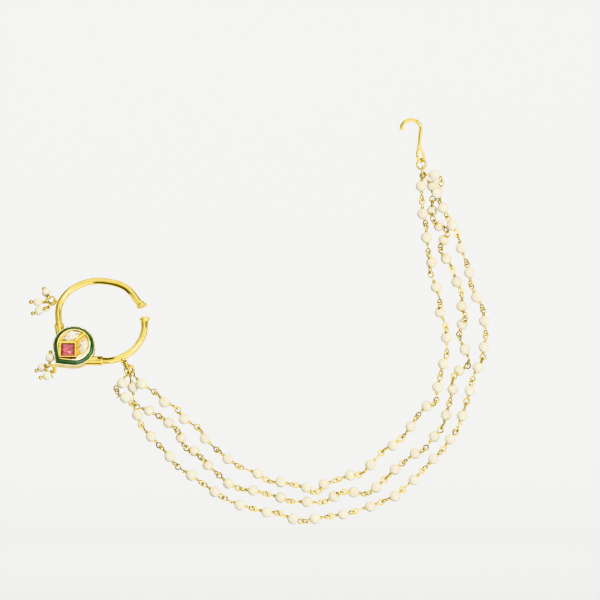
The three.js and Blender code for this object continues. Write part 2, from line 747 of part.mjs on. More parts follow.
// The hook: a bend of nearly half a turn, a straight shank and a long wire eye
function hairHook() {
  const eyeFoot = linkedReach(hookRingRadius, hookRingWire, 0, hookEyeWire);
  const foot = polar(hookRingCentre, eyeFoot, 90);
  const neck = foot.clone().add(new THREE.Vector3(-hookEyeShift, 0, hookEyeLength));
  const bendCentre = neck.clone().add(new THREE.Vector3(-hookShift, 0, hookDrop));
  const shares = Array.from({ length: hookSteps.arc + 1 }, (_, i) => i / hookSteps.arc);
  const shank = shares.map((share) => (
    polar(bendCentre, hookBend, THREE.MathUtils.lerp(hookArc.tip, hookArc.shank, share))
  ));
  shank.push(neck.clone().lerp(shank[shank.length - 1], shankEase), neck);
  const eyeSide = (sign) => {
    const points = hookEyeForm.map((row) => {
      const across = sign * row.wide * hookEyeWidth / 2;
      return foot.clone().lerp(neck, row.along).addScaledVector(level(hookEyeTurn), across);
    });
    return bentWire(points, hookEyeWire / 2, hookSides, hookSteps.eye);
  };
  const bend = bentWire(shank, hookWire / 2, hookSides, hookSteps.shank);
  return joined([bend, eyeSide(1), eyeSide(-1)]);
}

chain.add(piece('hair_hook', hairHook(), gold));

const group = new THREE.Group();
group.add(noseRing, chain);

export default group;
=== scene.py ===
from math import acos, asin, atan2, cos, degrees, pi, radians, sin, sqrt

import bmesh
import bpy
import numpy as np
from numpy.linalg import norm
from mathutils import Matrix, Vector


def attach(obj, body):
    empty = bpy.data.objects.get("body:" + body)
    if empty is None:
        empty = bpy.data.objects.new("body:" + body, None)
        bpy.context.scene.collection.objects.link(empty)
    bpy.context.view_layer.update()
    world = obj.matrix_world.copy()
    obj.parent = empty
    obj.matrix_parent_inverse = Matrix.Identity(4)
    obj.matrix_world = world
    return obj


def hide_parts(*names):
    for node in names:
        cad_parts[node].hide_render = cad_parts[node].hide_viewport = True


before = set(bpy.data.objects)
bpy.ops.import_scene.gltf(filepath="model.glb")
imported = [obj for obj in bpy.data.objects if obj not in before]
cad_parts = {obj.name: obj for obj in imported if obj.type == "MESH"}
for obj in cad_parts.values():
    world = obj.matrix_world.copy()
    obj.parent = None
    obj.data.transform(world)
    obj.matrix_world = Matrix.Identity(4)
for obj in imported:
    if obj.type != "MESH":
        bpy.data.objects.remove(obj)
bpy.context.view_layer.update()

# Sizes in millimetres, the same as in the solids; angles in degrees, from the right upwards
MM = 0.001
HOOP_RADIUS = 16.5
HOOP_TUBE = 2.5
LEAN_BACK = 21.5
NOSTRIL_GAP = 4.9
GAP_DIRECTION = 12.3
PAD_DIAMETER = 3.9
PAD_LENGTH = 1.8
# Where the hoop's tube runs: angle, share of the hoop's radius
UPPER_FORM = [(57, 0.995), (90, 0.99), (110, 1.018), (122, 1.028), (134, 1.052), (147, 1.055),
              (157, 1.05), (168, 1.018), (187.2, 0.979)]
LOWER_FORM = [(-2, 0.995), (-14, 1.02), (-26, 1.03), (-39, 1.036), (-50, 1.028), (-67, 1.015),
              (-78, 1.0), (-88.8, 0.982)]
FERRULE_MOUTH = 3.75
FERRULE_SINK = 0.9
UPPER_FERRULE = {"mouth": (187.2, 0.979), "shoulder": 0.9, "case_angle": 138, "tail": 3.2}
LOWER_FERRULE = {"mouth": (271.2, 0.982), "shoulder": 0.4, "case_angle": -50.5, "tail": 3.3}

PENDANT_DIRECTION = 226.5
PENDANT_INSET = 1.67
CORNER_REACH = 1.25
FACE_RADIUS = 6.5
RIM_WIDTH = 0.7
BAND_WIDTH = 1.2
FLANGE_WIDTH = 0.35
CASE_RADIUS = FACE_RADIUS + BAND_WIDTH + FLANGE_WIDTH
FACE_HEIGHT = 3.2
LEDGE_HEIGHT = 1.75
CASE_WALL = 3.9
FLOOR_HEIGHT = 2.5
CELL_FLOOR = 1.8
STONE_GAP = 0.12
SQUARE = {"at": (-2.24, -2.1), "half": 2.4}
UPPER_LEAF = {"at": (-1.0, 3.7), "length": 7.2, "width": 3.6, "turn": 23}
SIDE_LEAF = {"at": (3.65, -0.35), "length": 6.6, "width": 3.3, "turn": 77}

# Rings and wire eyes: radius of the middle of the wire (0 where only the wire counts), wire
EYELET = (0.9, 0.6)
BUNCH_RING = (1.6, 0.6)
PIN_EYE = (0.95, 0.44)
LINK = (1.4, 0.7)
COLLECTING_RING = (1.7, 0.6)
GATHERING_RING = (1.7, 0.6)
HOOK_RING = (1.95, 0.76)
HOOK_EYE = (0, 0.95)
EYELET_BITE = 0.15
LINK_GAP = 0.15
SMALL_PEARL = 3.2
PIN_BALL = 1.65
SEAT_GAP = 0.1
BEAD = 4.0
STRAND_LANE = 2.1
BUNCH_SPREAD = 0.75
CHAIN_REACH = 111.3
CHAIN_RISE = 75.6
HOOK_WIRE = 1.3
FIRST_EYE_TURN = {"inner": 50, "middle": -25, "outer": 20}
# Head pins: where the eye hangs on the ring, which way the pin points, how far it comes forward,
# and its bare neck as a share of the pearl
UPPER_PINS = [(121, 114, -30, 0.07), (197, 179, 2, 0.25), (250, 198, -16, 0.78)]
LOWER_PINS = [(99, 87, -12, 0.07), (141, 200, -31, 0.07), (278, 202, 11, 0.07)]
UPPER_EYE_ANGLE = 155
CHAIN_EYE_ANGLE = -62
CHAIN_FALL = -60
UPPER_BUNCH_TURN = 171
LOWER_BUNCH_TURN = 212

# Sizes that only the looks have: first the wires, then the pearls, then the linked pairs of eyes,
# their necks and how many have a cut end that shows
LOOP_RADIUS = 1.1
EYE_WIRE = 0.55
WRAP_WIRE = 0.42
WRAP_BITE = 0.05
SEAM_CUT = 0.1
BORE_RADIUS = 0.3
SMALL_SWELL = 1.05
PEARL_SWELL = (1.0, 1.05)
SHORTEST_REACH = 4.1
CLOSEST_EYES = 1.15
PAIR_TURNS = (10, 62)
SHORTEST_NECK = 0.4
LONGEST_NECK = 1.15
CUT_END_SHARE = 0.2
MILGRAIN_COUNT = 118
MILGRAIN_RADIUS = 0.2
OUTLINE_SIDES = 160
TUBE_SIDES = 36

# Bead routes from the collecting ring: bead number, share of the reach, share of the rise
INNER_ROUTE = [
    (1, 0.043, -0.07), (3, 0.189, -0.247), (5, 0.336, -0.446), (6, 0.438, -0.519),
    (8, 0.604, -0.59), (9, 0.664, -0.574), (11, 0.823, -0.476), (13, 0.96, -0.284),
    (15, 1.051, -0.086), (17, 1.081, 0.163), (19, 1.046, 0.415), (21, 1.013, 0.664),
    (23, 0.995, 0.922)]
MIDDLE_ROUTE = [
    (1, 0.007, -0.083), (2, 0.067, -0.205), (4, 0.177, -0.341), (6, 0.268, -0.478),
    (7, 0.339, -0.569), (8, 0.424, -0.604), (10, 0.606, -0.663), (12, 0.765, -0.614),
    (13, 0.843, -0.59), (14, 0.907, -0.5), (16, 1.041, -0.335), (18, 1.104, -0.098),
    (20, 1.145, 0.103), (22, 1.134, 0.319), (24, 1.081, 0.558), (26, 1.056, 0.722),
    (27, 1.034, 0.8), (28, 1.033, 0.931)]
OUTER_ROUTE = [
    (1, -0.025, -0.063), (2, -0.014, -0.136), (4, 0.076, -0.333), (6, 0.212, -0.528),
    (8, 0.378, -0.677), (10, 0.558, -0.746), (11, 0.633, -0.745), (13, 0.822, -0.683),
    (15, 0.973, -0.549), (17, 1.094, -0.347), (19, 1.161, -0.104), (21, 1.209, 0.114),
    (22, 1.209, 0.246), (24, 1.159, 0.488), (26, 1.1, 0.728), (27, 1.069, 0.813),
    (28, 1.049, 0.886), (29, 1.04, 0.98)]

# How far a bead lies off the smooth route, by bead number, and how far the pair of eyes after a
# bead hangs off the middle between its beads: tenths of a millimetre to the right and up
BEAD_SHIFTS = {
    "inner": {2: (5, -3), 3: (-2, 1), 4: (-2, 2), 7: (-8, 0), 10: (12, 4), 12: (3, 6), 14: (3, 6),
        16: (-4, -3), 18: (-9, 0), 20: (3, 0), 22: (-3, -7)},
    "middle": {1: (6, -3), 3: (12, 9), 7: (-1, -1), 8: (-2, -1), 11: (13, 7), 15: (-3, 1),
        17: (3, -6), 19: (-4, -6), 21: (-11, 15), 23: (10, 0), 25: (6, 5), 28: (1, -6)},
    "outer": {1: (2, -2), 2: (2, -2), 3: (4, 6), 9: (1, 5), 12: (1, -1), 14: (5, -6), 15: (-3, -1),
        16: (-2, 7), 18: (3, -2), 20: (0, 6), 23: (-4, -2), 26: (-1, -3), 29: (0, -3)}}
PAIR_SHIFTS = {
    "inner": {1: (9, 1), 2: (9, 7), 3: (15, 2), 4: (6, -6), 5: (-12, -1), 6: (-4, -11),
        8: (1, -22), 10: (0, -14), 11: (3, 13), 12: (2, -5), 13: (-5, 0), 14: (12, -18),
        16: (7, -11), 17: (10, -10), 18: (7, -14), 19: (-13, 9), 20: (-2, -11), 21: (5, 4)},
    "middle": {1: (-18, -22), 2: (6, 0), 3: (8, 2), 4: (-8, -9), 5: (4, 0), 7: (-2, -6),
        9: (-12, -5), 10: (9, -10), 11: (-6, 8), 12: (4, -14), 14: (-6, -3), 15: (-2, -14),
        16: (4, -9), 18: (-10, 9), 19: (23, -15), 20: (-15, 4), 21: (11, -5), 22: (8, 3),
        23: (1, 8), 24: (-17, 3), 25: (20, 4), 26: (-8, -9), 27: (0, -10)},
    "outer": {1: (-27, 1), 2: (3, 8), 3: (-9, -1), 5: (-14, 2), 7: (-16, 4), 9: (-5, 9),
        10: (-4, -9), 12: (-12, -6), 14: (-11, -11), 16: (0, -6), 17: (0, -12), 19: (-6, -7),
        20: (6, -4), 21: (6, -1), 22: (9, 1), 23: (-6, 0), 24: (7, -11), 25: (5, 6), 27: (-4, 4),
        28: (20, 12)}}

VIEW = np.array([0.0, 1.0, 0.0])
DOWN = np.array([0.0, 0.0, -1.0])


# ---- places

def unit(vector):
    """The vector over its length."""
    return vector / norm(vector, axis=-1, keepdims=True)


def square_to(vector, axis):
    """The direction of the part of a vector that is square to a unit axis."""
    return unit(vector - axis * np.dot(vector, axis))


def heading(angle):
    """(cosine, 0, sine) of an angle: a direction in the plane that shows."""
    return np.array([cos(radians(angle)), 0.0, sin(radians(angle))])


def level(angle):
    """(cosine, sine, 0) of an angle: a direction in the level plane."""
    return np.array([cos(radians(angle)), sin(radians(angle)), 0.0])


def polar(centre, distance, angle):
    """Centre plus distance times the heading of the angle."""
    return centre + distance * heading(angle)


def beside(right, up):
    """A step to the right and up in the plane that shows."""
    return np.array([right, 0.0, up])


def leaned(points):
    """Turns points about X so that the hoop's lower side comes towards the side that shows."""
    tilt = radians(LEAN_BACK)
    x, y, z = np.moveaxis(np.asarray(points, float), -1, 0)
    return np.stack([x, y * cos(tilt) + z * sin(tilt), z * cos(tilt) - y * sin(tilt)], -1)


def lean_shells(shells):
    """Leans every shell back and leaves its ends and its look as they are."""
    return [(leaned(rings), *rest) for rings, *rest in shells]


HOOP_CENTRE = polar(np.zeros(3), HOOP_RADIUS, GAP_DIRECTION + 180)
PENDANT_CENTRE = polar(HOOP_CENTRE, HOOP_RADIUS - PENDANT_INSET, PENDANT_DIRECTION)
GAP_HALF = degrees(asin(NOSTRIL_GAP / 2 / HOOP_RADIUS))


def on_hoop(angle, reach=1.0):
    """A point at an angle of the hoop, at a share of its radius."""
    return polar(HOOP_CENTRE, HOOP_RADIUS * reach, angle)


def on_face(right, up):
    """A point of the pendant's face, from its middle."""
    return PENDANT_CENTRE + beside(right, up)


# ---- surfaces; a shell is (rings of points, "capped" or "closed", and maybe its look's number)

def far_along(line):
    """How far each point of a line lies from the first, measured along the line."""
    return np.r_[0, np.cumsum(norm(np.diff(line, axis=0), axis=1))]


def smooth_path(points, count, span_steps=24):
    """A curve through the points at equal steps of its length: each span is a cubic, and its end
    slopes weigh the spans beside them by the square root of their lengths."""
    p = np.asarray(points, float)
    p = np.vstack([2 * p[0] - p[1], p, 2 * p[-1] - p[-2]])
    gap = np.sqrt(norm(np.diff(p, axis=0), axis=1))[:, None]
    before, here, after = gap[:-2], gap[1:-1], gap[2:]
    a, b = p[1:-2], p[2:-1]
    slope_a = ((a - p[:-3]) / before - (b - p[:-3]) / (before + here) + (b - a) / here) * here
    slope_b = ((b - a) / here - (p[3:] - a) / (here + after) + (p[3:] - b) / after) * here
    t = np.linspace(0, 1, span_steps, endpoint=False)[None, :, None]
    span = ((2 * t**3 - 3 * t**2 + 1) * a[:, None] + (t**3 - 2 * t**2 + t) * slope_a[:, None]
            + (3 * t**2 - 2 * t**3) * b[:, None] + (t**3 - t**2) * slope_b[:, None])
    line = np.vstack([span.reshape(-1, 3), p[-2:-1]])
    far = far_along(line)
    where = np.linspace(0, far[-1], count)
    return np.stack([np.interp(where, far, line[:, i]) for i in range(3)], 1)


def round_steps(count):
    """A column of equal steps round a circle, in radians."""
    return np.linspace(0, 2 * pi, count, endpoint=False)[:, None]


def axes_of(axis):
    """Two directions square to an axis and to each other."""
    axis = unit(np.asarray(axis, float))
    first = unit(np.cross(axis, [0.0, 0.0, 1.0] if abs(axis[2]) < 0.9 else [1.0, 0.0, 0.0]))
    return first, np.cross(axis, first)


def outward(axis, a):
    """Directions square to an axis: cosine a first + sine a second, for a column of angles."""
    first, second = axes_of(axis)
    return np.cos(a) * first + np.sin(a) * second


def angle_about(axis, toward):
    """The angle about an axis at which outward() points towards a direction."""
    first, second = axes_of(axis)
    return atan2(np.dot(toward, second), np.dot(toward, first))


def tube(path, radius, sides, across, flat=1.0, closed=False):
    """Rings round a path: point + radius (cosine side + flat sine top), side = tangent x across."""
    steps = np.roll(path, -1, 0) - np.roll(path, 1, 0) if closed else np.gradient(path, axis=0)
    tangent = unit(steps)
    side = unit(np.cross(tangent, across))
    top = np.cross(side, tangent)
    turn = round_steps(sides)
    round_it = np.cos(turn) * side[:, None] + flat * np.sin(turn) * top[:, None]
    radius = np.broadcast_to(np.asarray(radius, float), (len(path),))[:, None, None]
    return path[:, None] + radius * round_it, "closed" if closed else "capped"


def hoop_ring(centre, axis, radius, wire, seam=None, steps=44, sides=12):
    """A wire ring: centre + (radius + r cosine b) outward(a) + r sine b axis. With a seam
    direction it is cut there, as a jump ring is."""
    axis = unit(np.asarray(axis, float))
    a = round_steps(steps)
    if seam is not None:
        at, half_cut = angle_about(axis, seam), SEAM_CUT / 2 / radius
        a = np.linspace(at + half_cut, at + 2 * pi - half_cut, steps + 1)[:, None]
    b = round_steps(sides)
    rings = (np.asarray(centre, float) + outward(axis, a)[:, None] * (radius + wire / 2 * np.cos(b))
             + wire / 2 * np.sin(b) * axis)
    return rings, "closed" if seam is None else "capped"


def turned(profile, start, direction, sides):
    """A turned body: start + height direction + radius outward(a), from rows (radius, height)."""
    profile = np.asarray(profile, float)
    direction = unit(np.asarray(direction, float))
    rings = (np.asarray(start, float) + profile[:, 1, None, None] * direction
             + profile[:, 0, None, None] * outward(direction, round_steps(sides)))
    return rings, "capped"


def ball(centre, axis, radius, rows=14, sides=20, hole=0.0):
    """A ball or bored bead: radius (sine b, cosine b) about its axis, from pole to pole or from
    bore to bore."""
    edge = asin(hole / radius) if hole else 0.02
    b = np.linspace(edge, pi - edge, rows)
    rings, _ = turned(np.c_[radius * np.sin(b), -radius * np.cos(b)], centre, axis, sides)
    return rings, "closed" if hole else "capped"


def straight_wire(start, end, radius, sides=10):
    """A round rod from start to end."""
    length = float(norm(end - start))
    return turned([(radius, 0.0), (radius, length)], start, end - start, sides)


def wrap_reach(wire, wrap=WRAP_WIRE):
    """How far the middle of a winding runs from the middle of the wire in it."""
    return wire / 2 + wrap / 2 - WRAP_BITE


def coil(start, direction, length, turns, radius):
    """Wire wound round a neck: start + s length direction + radius outward(a), over its turns."""
    s = np.linspace(0, 1, turns * 10 + 1)[:, None]
    path = start + s * length * direction + radius * outward(direction, 2 * pi * turns * s)
    return tube(path, WRAP_WIRE / 2, 6, direction)


def ring_wrap(centre, axis, radius, wire, toward, span, turns, wrap=WRAP_WIRE):
    """Wire wound round part of a ring, to both sides of the direction toward: centre + (radius
    + r cosine b) outward(a) + r sine b axis, as a runs over the span and b through the turns."""
    s = np.linspace(0, 1, turns * 10 + 1)[:, None]
    out = outward(axis, angle_about(axis, toward) + radians(span) * (s - 0.5))
    b = 2 * pi * turns * s
    r = wrap_reach(wire, wrap)
    path = centre + (radius + r * np.cos(b)) * out + r * np.sin(b) * axis
    return tube(path, wrap / 2, 6, np.cross(axis, out))


def wound_eye(centre, axis, rim):
    """A twice wound eye: centre + radius (cosine rim + sine side) + axis step, over two turns."""
    radius, wire = PIN_EYE
    s = np.linspace(0, 1, 49)[:, None]
    a = 4 * pi * s
    path = (centre + radius * (np.cos(a) * rim + np.sin(a) * np.cross(axis, rim))
            + 1.9 * wire * (s - 0.5) * axis)
    return tube(path, wire / 2, 8, axis)


def linked_reach(ring, other):
    """How far apart the centres of two linked rings lie when they hang taut."""
    return ring[0] + other[0] - ring[1] / 2 - other[1] / 2 - LINK_GAP


def teardrop_reach(angle):
    """Outline of a circle of 1 with two straight flanks that meet in a corner at angle 0."""
    flank = acos(1 / CORNER_REACH)
    away = np.abs((angle + pi) % (2 * pi) - pi)
    return np.where(away < flank, 1 / np.cos(np.minimum(np.abs(flank - away), 1.4)), 1.0)


def square_reach(angle):
    """Outline of a square of half side 1: one over the larger of cosine and sine."""
    return 1 / np.maximum(np.abs(np.cos(angle)), np.abs(np.sin(angle)))


def leaf_reach(slimness):
    """Outline of a leaf of half length 1: two arcs that meet in a tip at each end."""
    arc = (1 + slimness**2) / (2 * slimness)
    drop = arc - slimness
    return lambda angle: np.sqrt(arc**2 - (drop * np.cos(angle))**2) - drop * np.abs(np.sin(angle))


def plate_ring(half, reach, height, turn, place, sides):
    """One outline at a height over the hoop's plane: half reach(a) (cosine, sine), turned."""
    a = round_steps(sides)[:, 0]
    r = half * reach(a)
    b = a + radians(turn)
    return np.c_[place[0] + r * np.cos(b), np.full(sides, place[1] - height),
                 place[2] + r * np.sin(b)]


def plates(rows, reach, turn, place, sides, ends):
    """A stack of one outline, grown or shrunk at each height, from rows (half size, height)."""
    return np.stack([plate_ring(h, reach, z, turn, place, sides) for h, z in rows]), ends


def teardrop_plates(rows, ends):
    """Plates of the pendant's own outline."""
    return plates(rows, teardrop_reach, PENDANT_DIRECTION, PENDANT_CENTRE, OUTLINE_SIDES, ends)


def leaf_plates(leaf, grow, rows, sides=64):
    """Outlines of a leaf cell: its half length and half width both grow by the same amount."""
    rings = []
    for extra, height in rows:
        half = leaf["length"] / 2 + grow + extra
        reach = leaf_reach((leaf["width"] / 2 + grow + extra) / half)
        rings.append(plate_ring(half, reach, height, leaf["turn"], on_face(*leaf["at"]), sides))
    return np.stack(rings), "closed"


def rows_at(size, height, *steps):
    """Rows (size, height), each by its steps from one anchor."""
    return [(size + s, height + h) for s, h in steps]


def rounded(rows, radius, steps=4):
    """Rounds the corners of a polyline of (size, height) rows by quadratic arcs."""
    rows = np.asarray(rows, float)
    out = [rows[0]]
    t = np.linspace(0, 1, steps + 1)[:, None]
    for before, corner, after in zip(rows[:-2], rows[1:-1], rows[2:]):
        back, on = before - corner, after - corner
        a = corner + unit(back) * min(radius, norm(back) / 2.01)
        b = corner + unit(on) * min(radius, norm(on) / 2.01)
        out.extend((1 - t)**2 * a + 2 * t * (1 - t) * corner + t**2 * b)
    return np.vstack([*out, rows[-1]])


# ---- meshes

def add_object(name, data):
    thing = bpy.data.objects.new(name, data)
    bpy.context.collection.objects.link(thing)
    return thing


def new_mesh(name, points, faces):
    """A smooth shaded mesh from points in metres and lists of corner numbers."""
    mesh = bpy.data.meshes.new(name)
    mesh.from_pydata(np.asarray(points).tolist(), [], faces)
    mesh.polygons.foreach_set("use_smooth", np.ones(len(mesh.polygons), bool))
    return mesh


def keep_values(mesh, name, domain, values):
    kept = mesh.attributes.new(name, "FLOAT", domain)
    kept.data.foreach_set("value", np.asarray(values, np.float32))


def faces_of(rows, sides, ends, first=0):
    """Corner numbers of the quads between rings, and of the fans that close capped ends."""
    r = np.arange(rows if ends == "closed" else rows - 1)[:, None]
    c = np.arange(sides)
    after = (c + 1) % sides
    low, high = r * sides, (r + 1) % rows * sides
    quads = np.stack([low + c, low + after, high + after, high + c], -1).reshape(-1, 4) + first
    if ends == "closed":
        return quads.tolist()
    hub, last = np.full(sides, rows * sides), (rows - 1) * sides
    fans = np.concatenate([np.stack([hub, after, c], 1),
                           np.stack([hub + 1, last + c, last + after], 1)]) + first
    return quads.tolist() + fans.tolist()


def finish_piece(name, mesh, looks, nodes, sharp):
    """Points the faces outwards, marks sharp edges, and rides on the body."""
    work = bmesh.new()
    work.from_mesh(mesh)
    bmesh.ops.recalc_face_normals(work, faces=work.faces)
    work.to_mesh(mesh)
    work.free()
    mesh.validate()
    mesh.set_sharp_from_angle(angle=radians(sharp))
    for look in looks:
        mesh.materials.append(look)
    piece = add_object(name, mesh)
    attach(piece, "root")
    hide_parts(*nodes)


def make_piece(name, shells, looks, nodes, sharp=38, tones=None):
    """Joins shells into one mesh; a shell may have the number of its look as a third entry, and
    tones gives each shell one value, kept as the attribute "tone"."""
    points, faces, face_looks, tone = [], [], [], []
    first = 0
    for number, (rings, ends, *which) in enumerate(shells):
        flat = rings.reshape(-1, 3)
        if ends == "capped":
            flat = np.vstack([flat, rings[0].mean(0), rings[-1].mean(0)])
        found = faces_of(*rings.shape[:2], ends, first)
        points.append(flat)
        faces += found
        face_looks += (which or [0]) * len(found)
        tone += [0.5 if tones is None else tones[number]] * len(flat)
        first += len(flat)
    mesh = new_mesh(name, np.vstack(points) * MM, faces)
    mesh.polygons.foreach_set("material_index", face_looks)
    keep_values(mesh, "tone", "POINT", tone)
    finish_piece(name, mesh, looks, nodes, sharp)


def facet_piece(name, points, faces, tones, look, slot, nodes):
    """A cut stone: flat faces, each a tone of painted light and shade kept as a face attribute."""
    mesh = new_mesh(name, np.asarray(points) * MM, faces)
    keep_values(mesh, "facet_light_and_shade", "FACE", tones)
    finish_piece(name, mesh, [look], nodes, sharp=1)


# ---- materials

class Nodes:
    """Short hand for adding and linking shader nodes in one tree."""

    def __init__(self, tree):
        self.tree = tree
        tree.nodes.clear()

    def fill(self, node, values):
        """Links each input to a socket, or sets the input's own value."""
        for key, value in values.items():
            if isinstance(value, bpy.types.NodeSocket):
                self.tree.links.new(value, node.inputs[key])
            else:
                node.inputs[key].default_value = value

    def add(self, kind, values=None, **settings):
        node = self.tree.nodes.new("ShaderNode" + kind)
        for key, value in settings.items():
            setattr(node, key, value)
        self.fill(node, values or {})
        return node

    def place(self):
        """Object coordinates."""
        return self.add("TexCoord").outputs["Object"]

    def noise(self, where, scale, detail, roughness=0.5, values=None, **settings):
        return self.add("TexNoise", {
            "Vector": where, **(values or {}), "Scale": scale, "Detail": detail,
            "Roughness": roughness}, **settings).outputs["Fac"]

    def stretched(self, turn, scale):
        """Object coordinates, turned and then drawn out."""
        return self.add("Mapping", {
            "Vector": self.place(), "Rotation": turn, "Scale": scale}).outputs["Vector"]

    def blend(self, factor, a, b):
        """A mix of two colours, each a socket or (red, green, blue)."""
        a, b = (c if isinstance(c, bpy.types.NodeSocket) else (*c, 1) for c in (a, b))
        return self.add("Mix", {0: factor, 6: a, 7: b}, data_type="RGBA").outputs[2]

    def scaled(self, value, low, high, from_low=0.0, from_high=1.0):
        """The value, drawn from one range to another and kept inside it."""
        return self.add("MapRange", {
            "Value": value, "From Min": from_low, "From Max": from_high,
            "To Min": low, "To Max": high}).outputs["Result"]

    def kept(self, name):
        """A value that the mesh keeps under this name."""
        return self.add("Attribute", attribute_name=name).outputs["Fac"]

    def total(self, a, b):
        return self.add("Math", {0: a, 1: b}, operation="ADD").outputs[0]

    def bump(self, height, strength, depth):
        """The normal of a height field; depth in millimetres."""
        return self.add("Bump", {
            "Height": height, "Strength": strength, "Distance": depth * MM}).outputs["Normal"]


def new_group(name, inputs, outputs):
    """An empty shader node group with named float inputs and outputs."""
    tree = bpy.data.node_groups.new(name, "ShaderNodeTree")
    for label, value in inputs.items():
        socket = tree.interface.new_socket(label, in_out="INPUT", socket_type="NodeSocketFloat")
        socket.default_value = value
    for label in outputs:
        tree.interface.new_socket(label, in_out="OUTPUT", socket_type="NodeSocketFloat")
    nodes = Nodes(tree)
    entry, leave = (tree.nodes.new(kind) for kind in ("NodeGroupInput", "NodeGroupOutput"))
    return tree, nodes, entry.outputs, leave


def polish_group():
    """Hand polish: soft cloudy patches, fine hairline scratches and tiny casting dimples."""
    tree, n, entry, leave = new_group("hand_polish", {"Patch Scale": 300.0, "Scratch Scale": 900.0},
                                      ("Patches", "Scratches", "Height"))
    patches = n.noise(n.place(), entry["Patch Scale"], 4.0, 0.6)
    scratches = n.noise(n.stretched((0.4, 0.3, 0.7), (1.0, 1.0, 14.0)), entry["Scratch Scale"],
                        3.0, 0.7)
    dimples = n.add("TexVoronoi", {
        "Vector": n.place(), "Scale": entry["Scratch Scale"]}).outputs["Distance"]
    n.fill(leave, {"Patches": patches, "Scratches": scratches,
                   "Height": n.total(scratches, dimples)})
    return tree


def nacre_group():
    """Pearl skin: two blotch fields, for green and for pink, and a faint ripple."""
    tree, n, entry, leave = new_group("nacre", {"Blotch Scale": 260.0, "Offset": 0.0},
                                      ("Green", "Pink", "Ripple"))
    for label, shift in (("Green", 0.0), ("Pink", 3.7)):
        field = n.noise(n.place(), entry["Blotch Scale"], 1.5,
                        values={"W": n.total(entry["Offset"], shift)}, noise_dimensions="4D")
        n.fill(leave, {label: n.scaled(field, 0.0, 1.0, 0.42, 0.66)})
    n.fill(leave, {"Ripple": n.noise(n.place(), 1400.0, 2.0)})
    return tree


HAND_POLISH = polish_group()
NACRE = nacre_group()


def new_material(name):
    """A material with one Principled shader: the material, its nodes and the shader."""
    material = bpy.data.materials.new(name)
    material.use_nodes = True
    n = Nodes(material.node_tree)
    shader = n.add("BsdfPrincipled")
    n.add("OutputMaterial", {"Surface": shader.outputs["BSDF"]})
    return material, n, shader


def worked_material(name, deep, light, rough, dull_range, scales, bump, values):
    """A surface worked by hand: its colour drifts between a deep and a light tone in soft patches,
    and its roughness follows fine scratches."""
    material, n, shader = new_material(name)
    polish = n.add("Group", {"Patch Scale": scales[0], "Scratch Scale": scales[1]},
                   node_tree=HAND_POLISH).outputs
    drift = n.scaled(polish["Patches"], 0.0, 1.0, 0.35, 0.65)
    field, strength, depth = bump
    n.fill(shader, {"Base Color": n.blend(drift, deep, light),
                    "Roughness": n.scaled(polish["Scratches"], *rough, *dull_range),
                    "Normal": n.bump(polish[field], strength, depth), **values})
    return material


def gold_material(name, light, deep, rough, patch_scale, bump):
    """Plated gold, duller where it is handled."""
    return worked_material(name, deep, light, rough, (0.35, 0.7), (patch_scale, 2400.0),
                           ("Height", bump, 0.02), {"Metallic": 1.0})


def pearl_material():
    """Ivory bead with a soft pink and green bloom, its depth set by the bead's own tone."""
    material, n, shader = new_material("ivory_pearl")
    tone = n.kept("tone")
    skin = n.add("Group", {"Blotch Scale": 380.0, "Offset": tone}, node_tree=NACRE).outputs
    base = n.blend(tone, (0.75, 0.70, 0.53), (0.82, 0.77, 0.63))
    green = n.blend(n.scaled(skin["Green"], 0.0, 0.55), base, (0.62, 0.68, 0.43))
    pink = n.blend(n.scaled(skin["Pink"], 0.0, 0.5), green, (0.88, 0.70, 0.63))
    n.fill(shader, {
        "Base Color": pink, "Roughness": n.scaled(skin["Ripple"], 0.16, 0.28),
        "Coat Weight": 0.5, "Coat Roughness": 0.12, "Specular IOR Level": 0.35,
        "Subsurface Weight": 0.25, "Subsurface Radius": (1.0, 0.8, 0.6),
        "Subsurface Scale": 0.6 * MM, "Normal": n.bump(skin["Ripple"], 0.12, 0.02)})
    return material


def stone_material(name, dark, light, glint, painted_streak_glint, coat):
    """Foil-backed stone: facets of painted light, shade and glint, with cloudy streaks inside."""
    material, n, shader = new_material(name)
    facet = n.kept("facet_light_and_shade")
    streaks = n.noise(n.stretched((0.0, 0.6, 0.0), (1.0, 1.0, 3.2)), 420.0, 3.0, 0.6,
                      {"Distortion": 0.8})
    # Painted light and shade: each facet's tone blends from the dark colour to the light one
    body = n.blend(facet, dark, light)
    veined = n.blend(n.scaled(streaks, 0.6, 0.0, 0.38, 0.5), body, dark)
    # Painted glint: the brightest streaks blend towards the glint colour
    veined_with_painted_glints = n.blend(n.scaled(streaks, 0.0, painted_streak_glint, 0.5, 0.72), veined, glint)
    # Painted glint: facets of tone 0.95 and up take the glint colour, fully from 0.99
    painted_glint_facets = n.scaled(facet, 0.0, 1.0, 0.95, 0.99)
    n.fill(shader, {
        "Base Color": n.blend(painted_glint_facets, veined_with_painted_glints, glint), "Roughness": n.scaled(streaks, 0.05, 0.16),
        "Coat Weight": coat, "Coat Roughness": 0.02, "Normal": n.bump(streaks, 0.1, 0.04)})
    return material


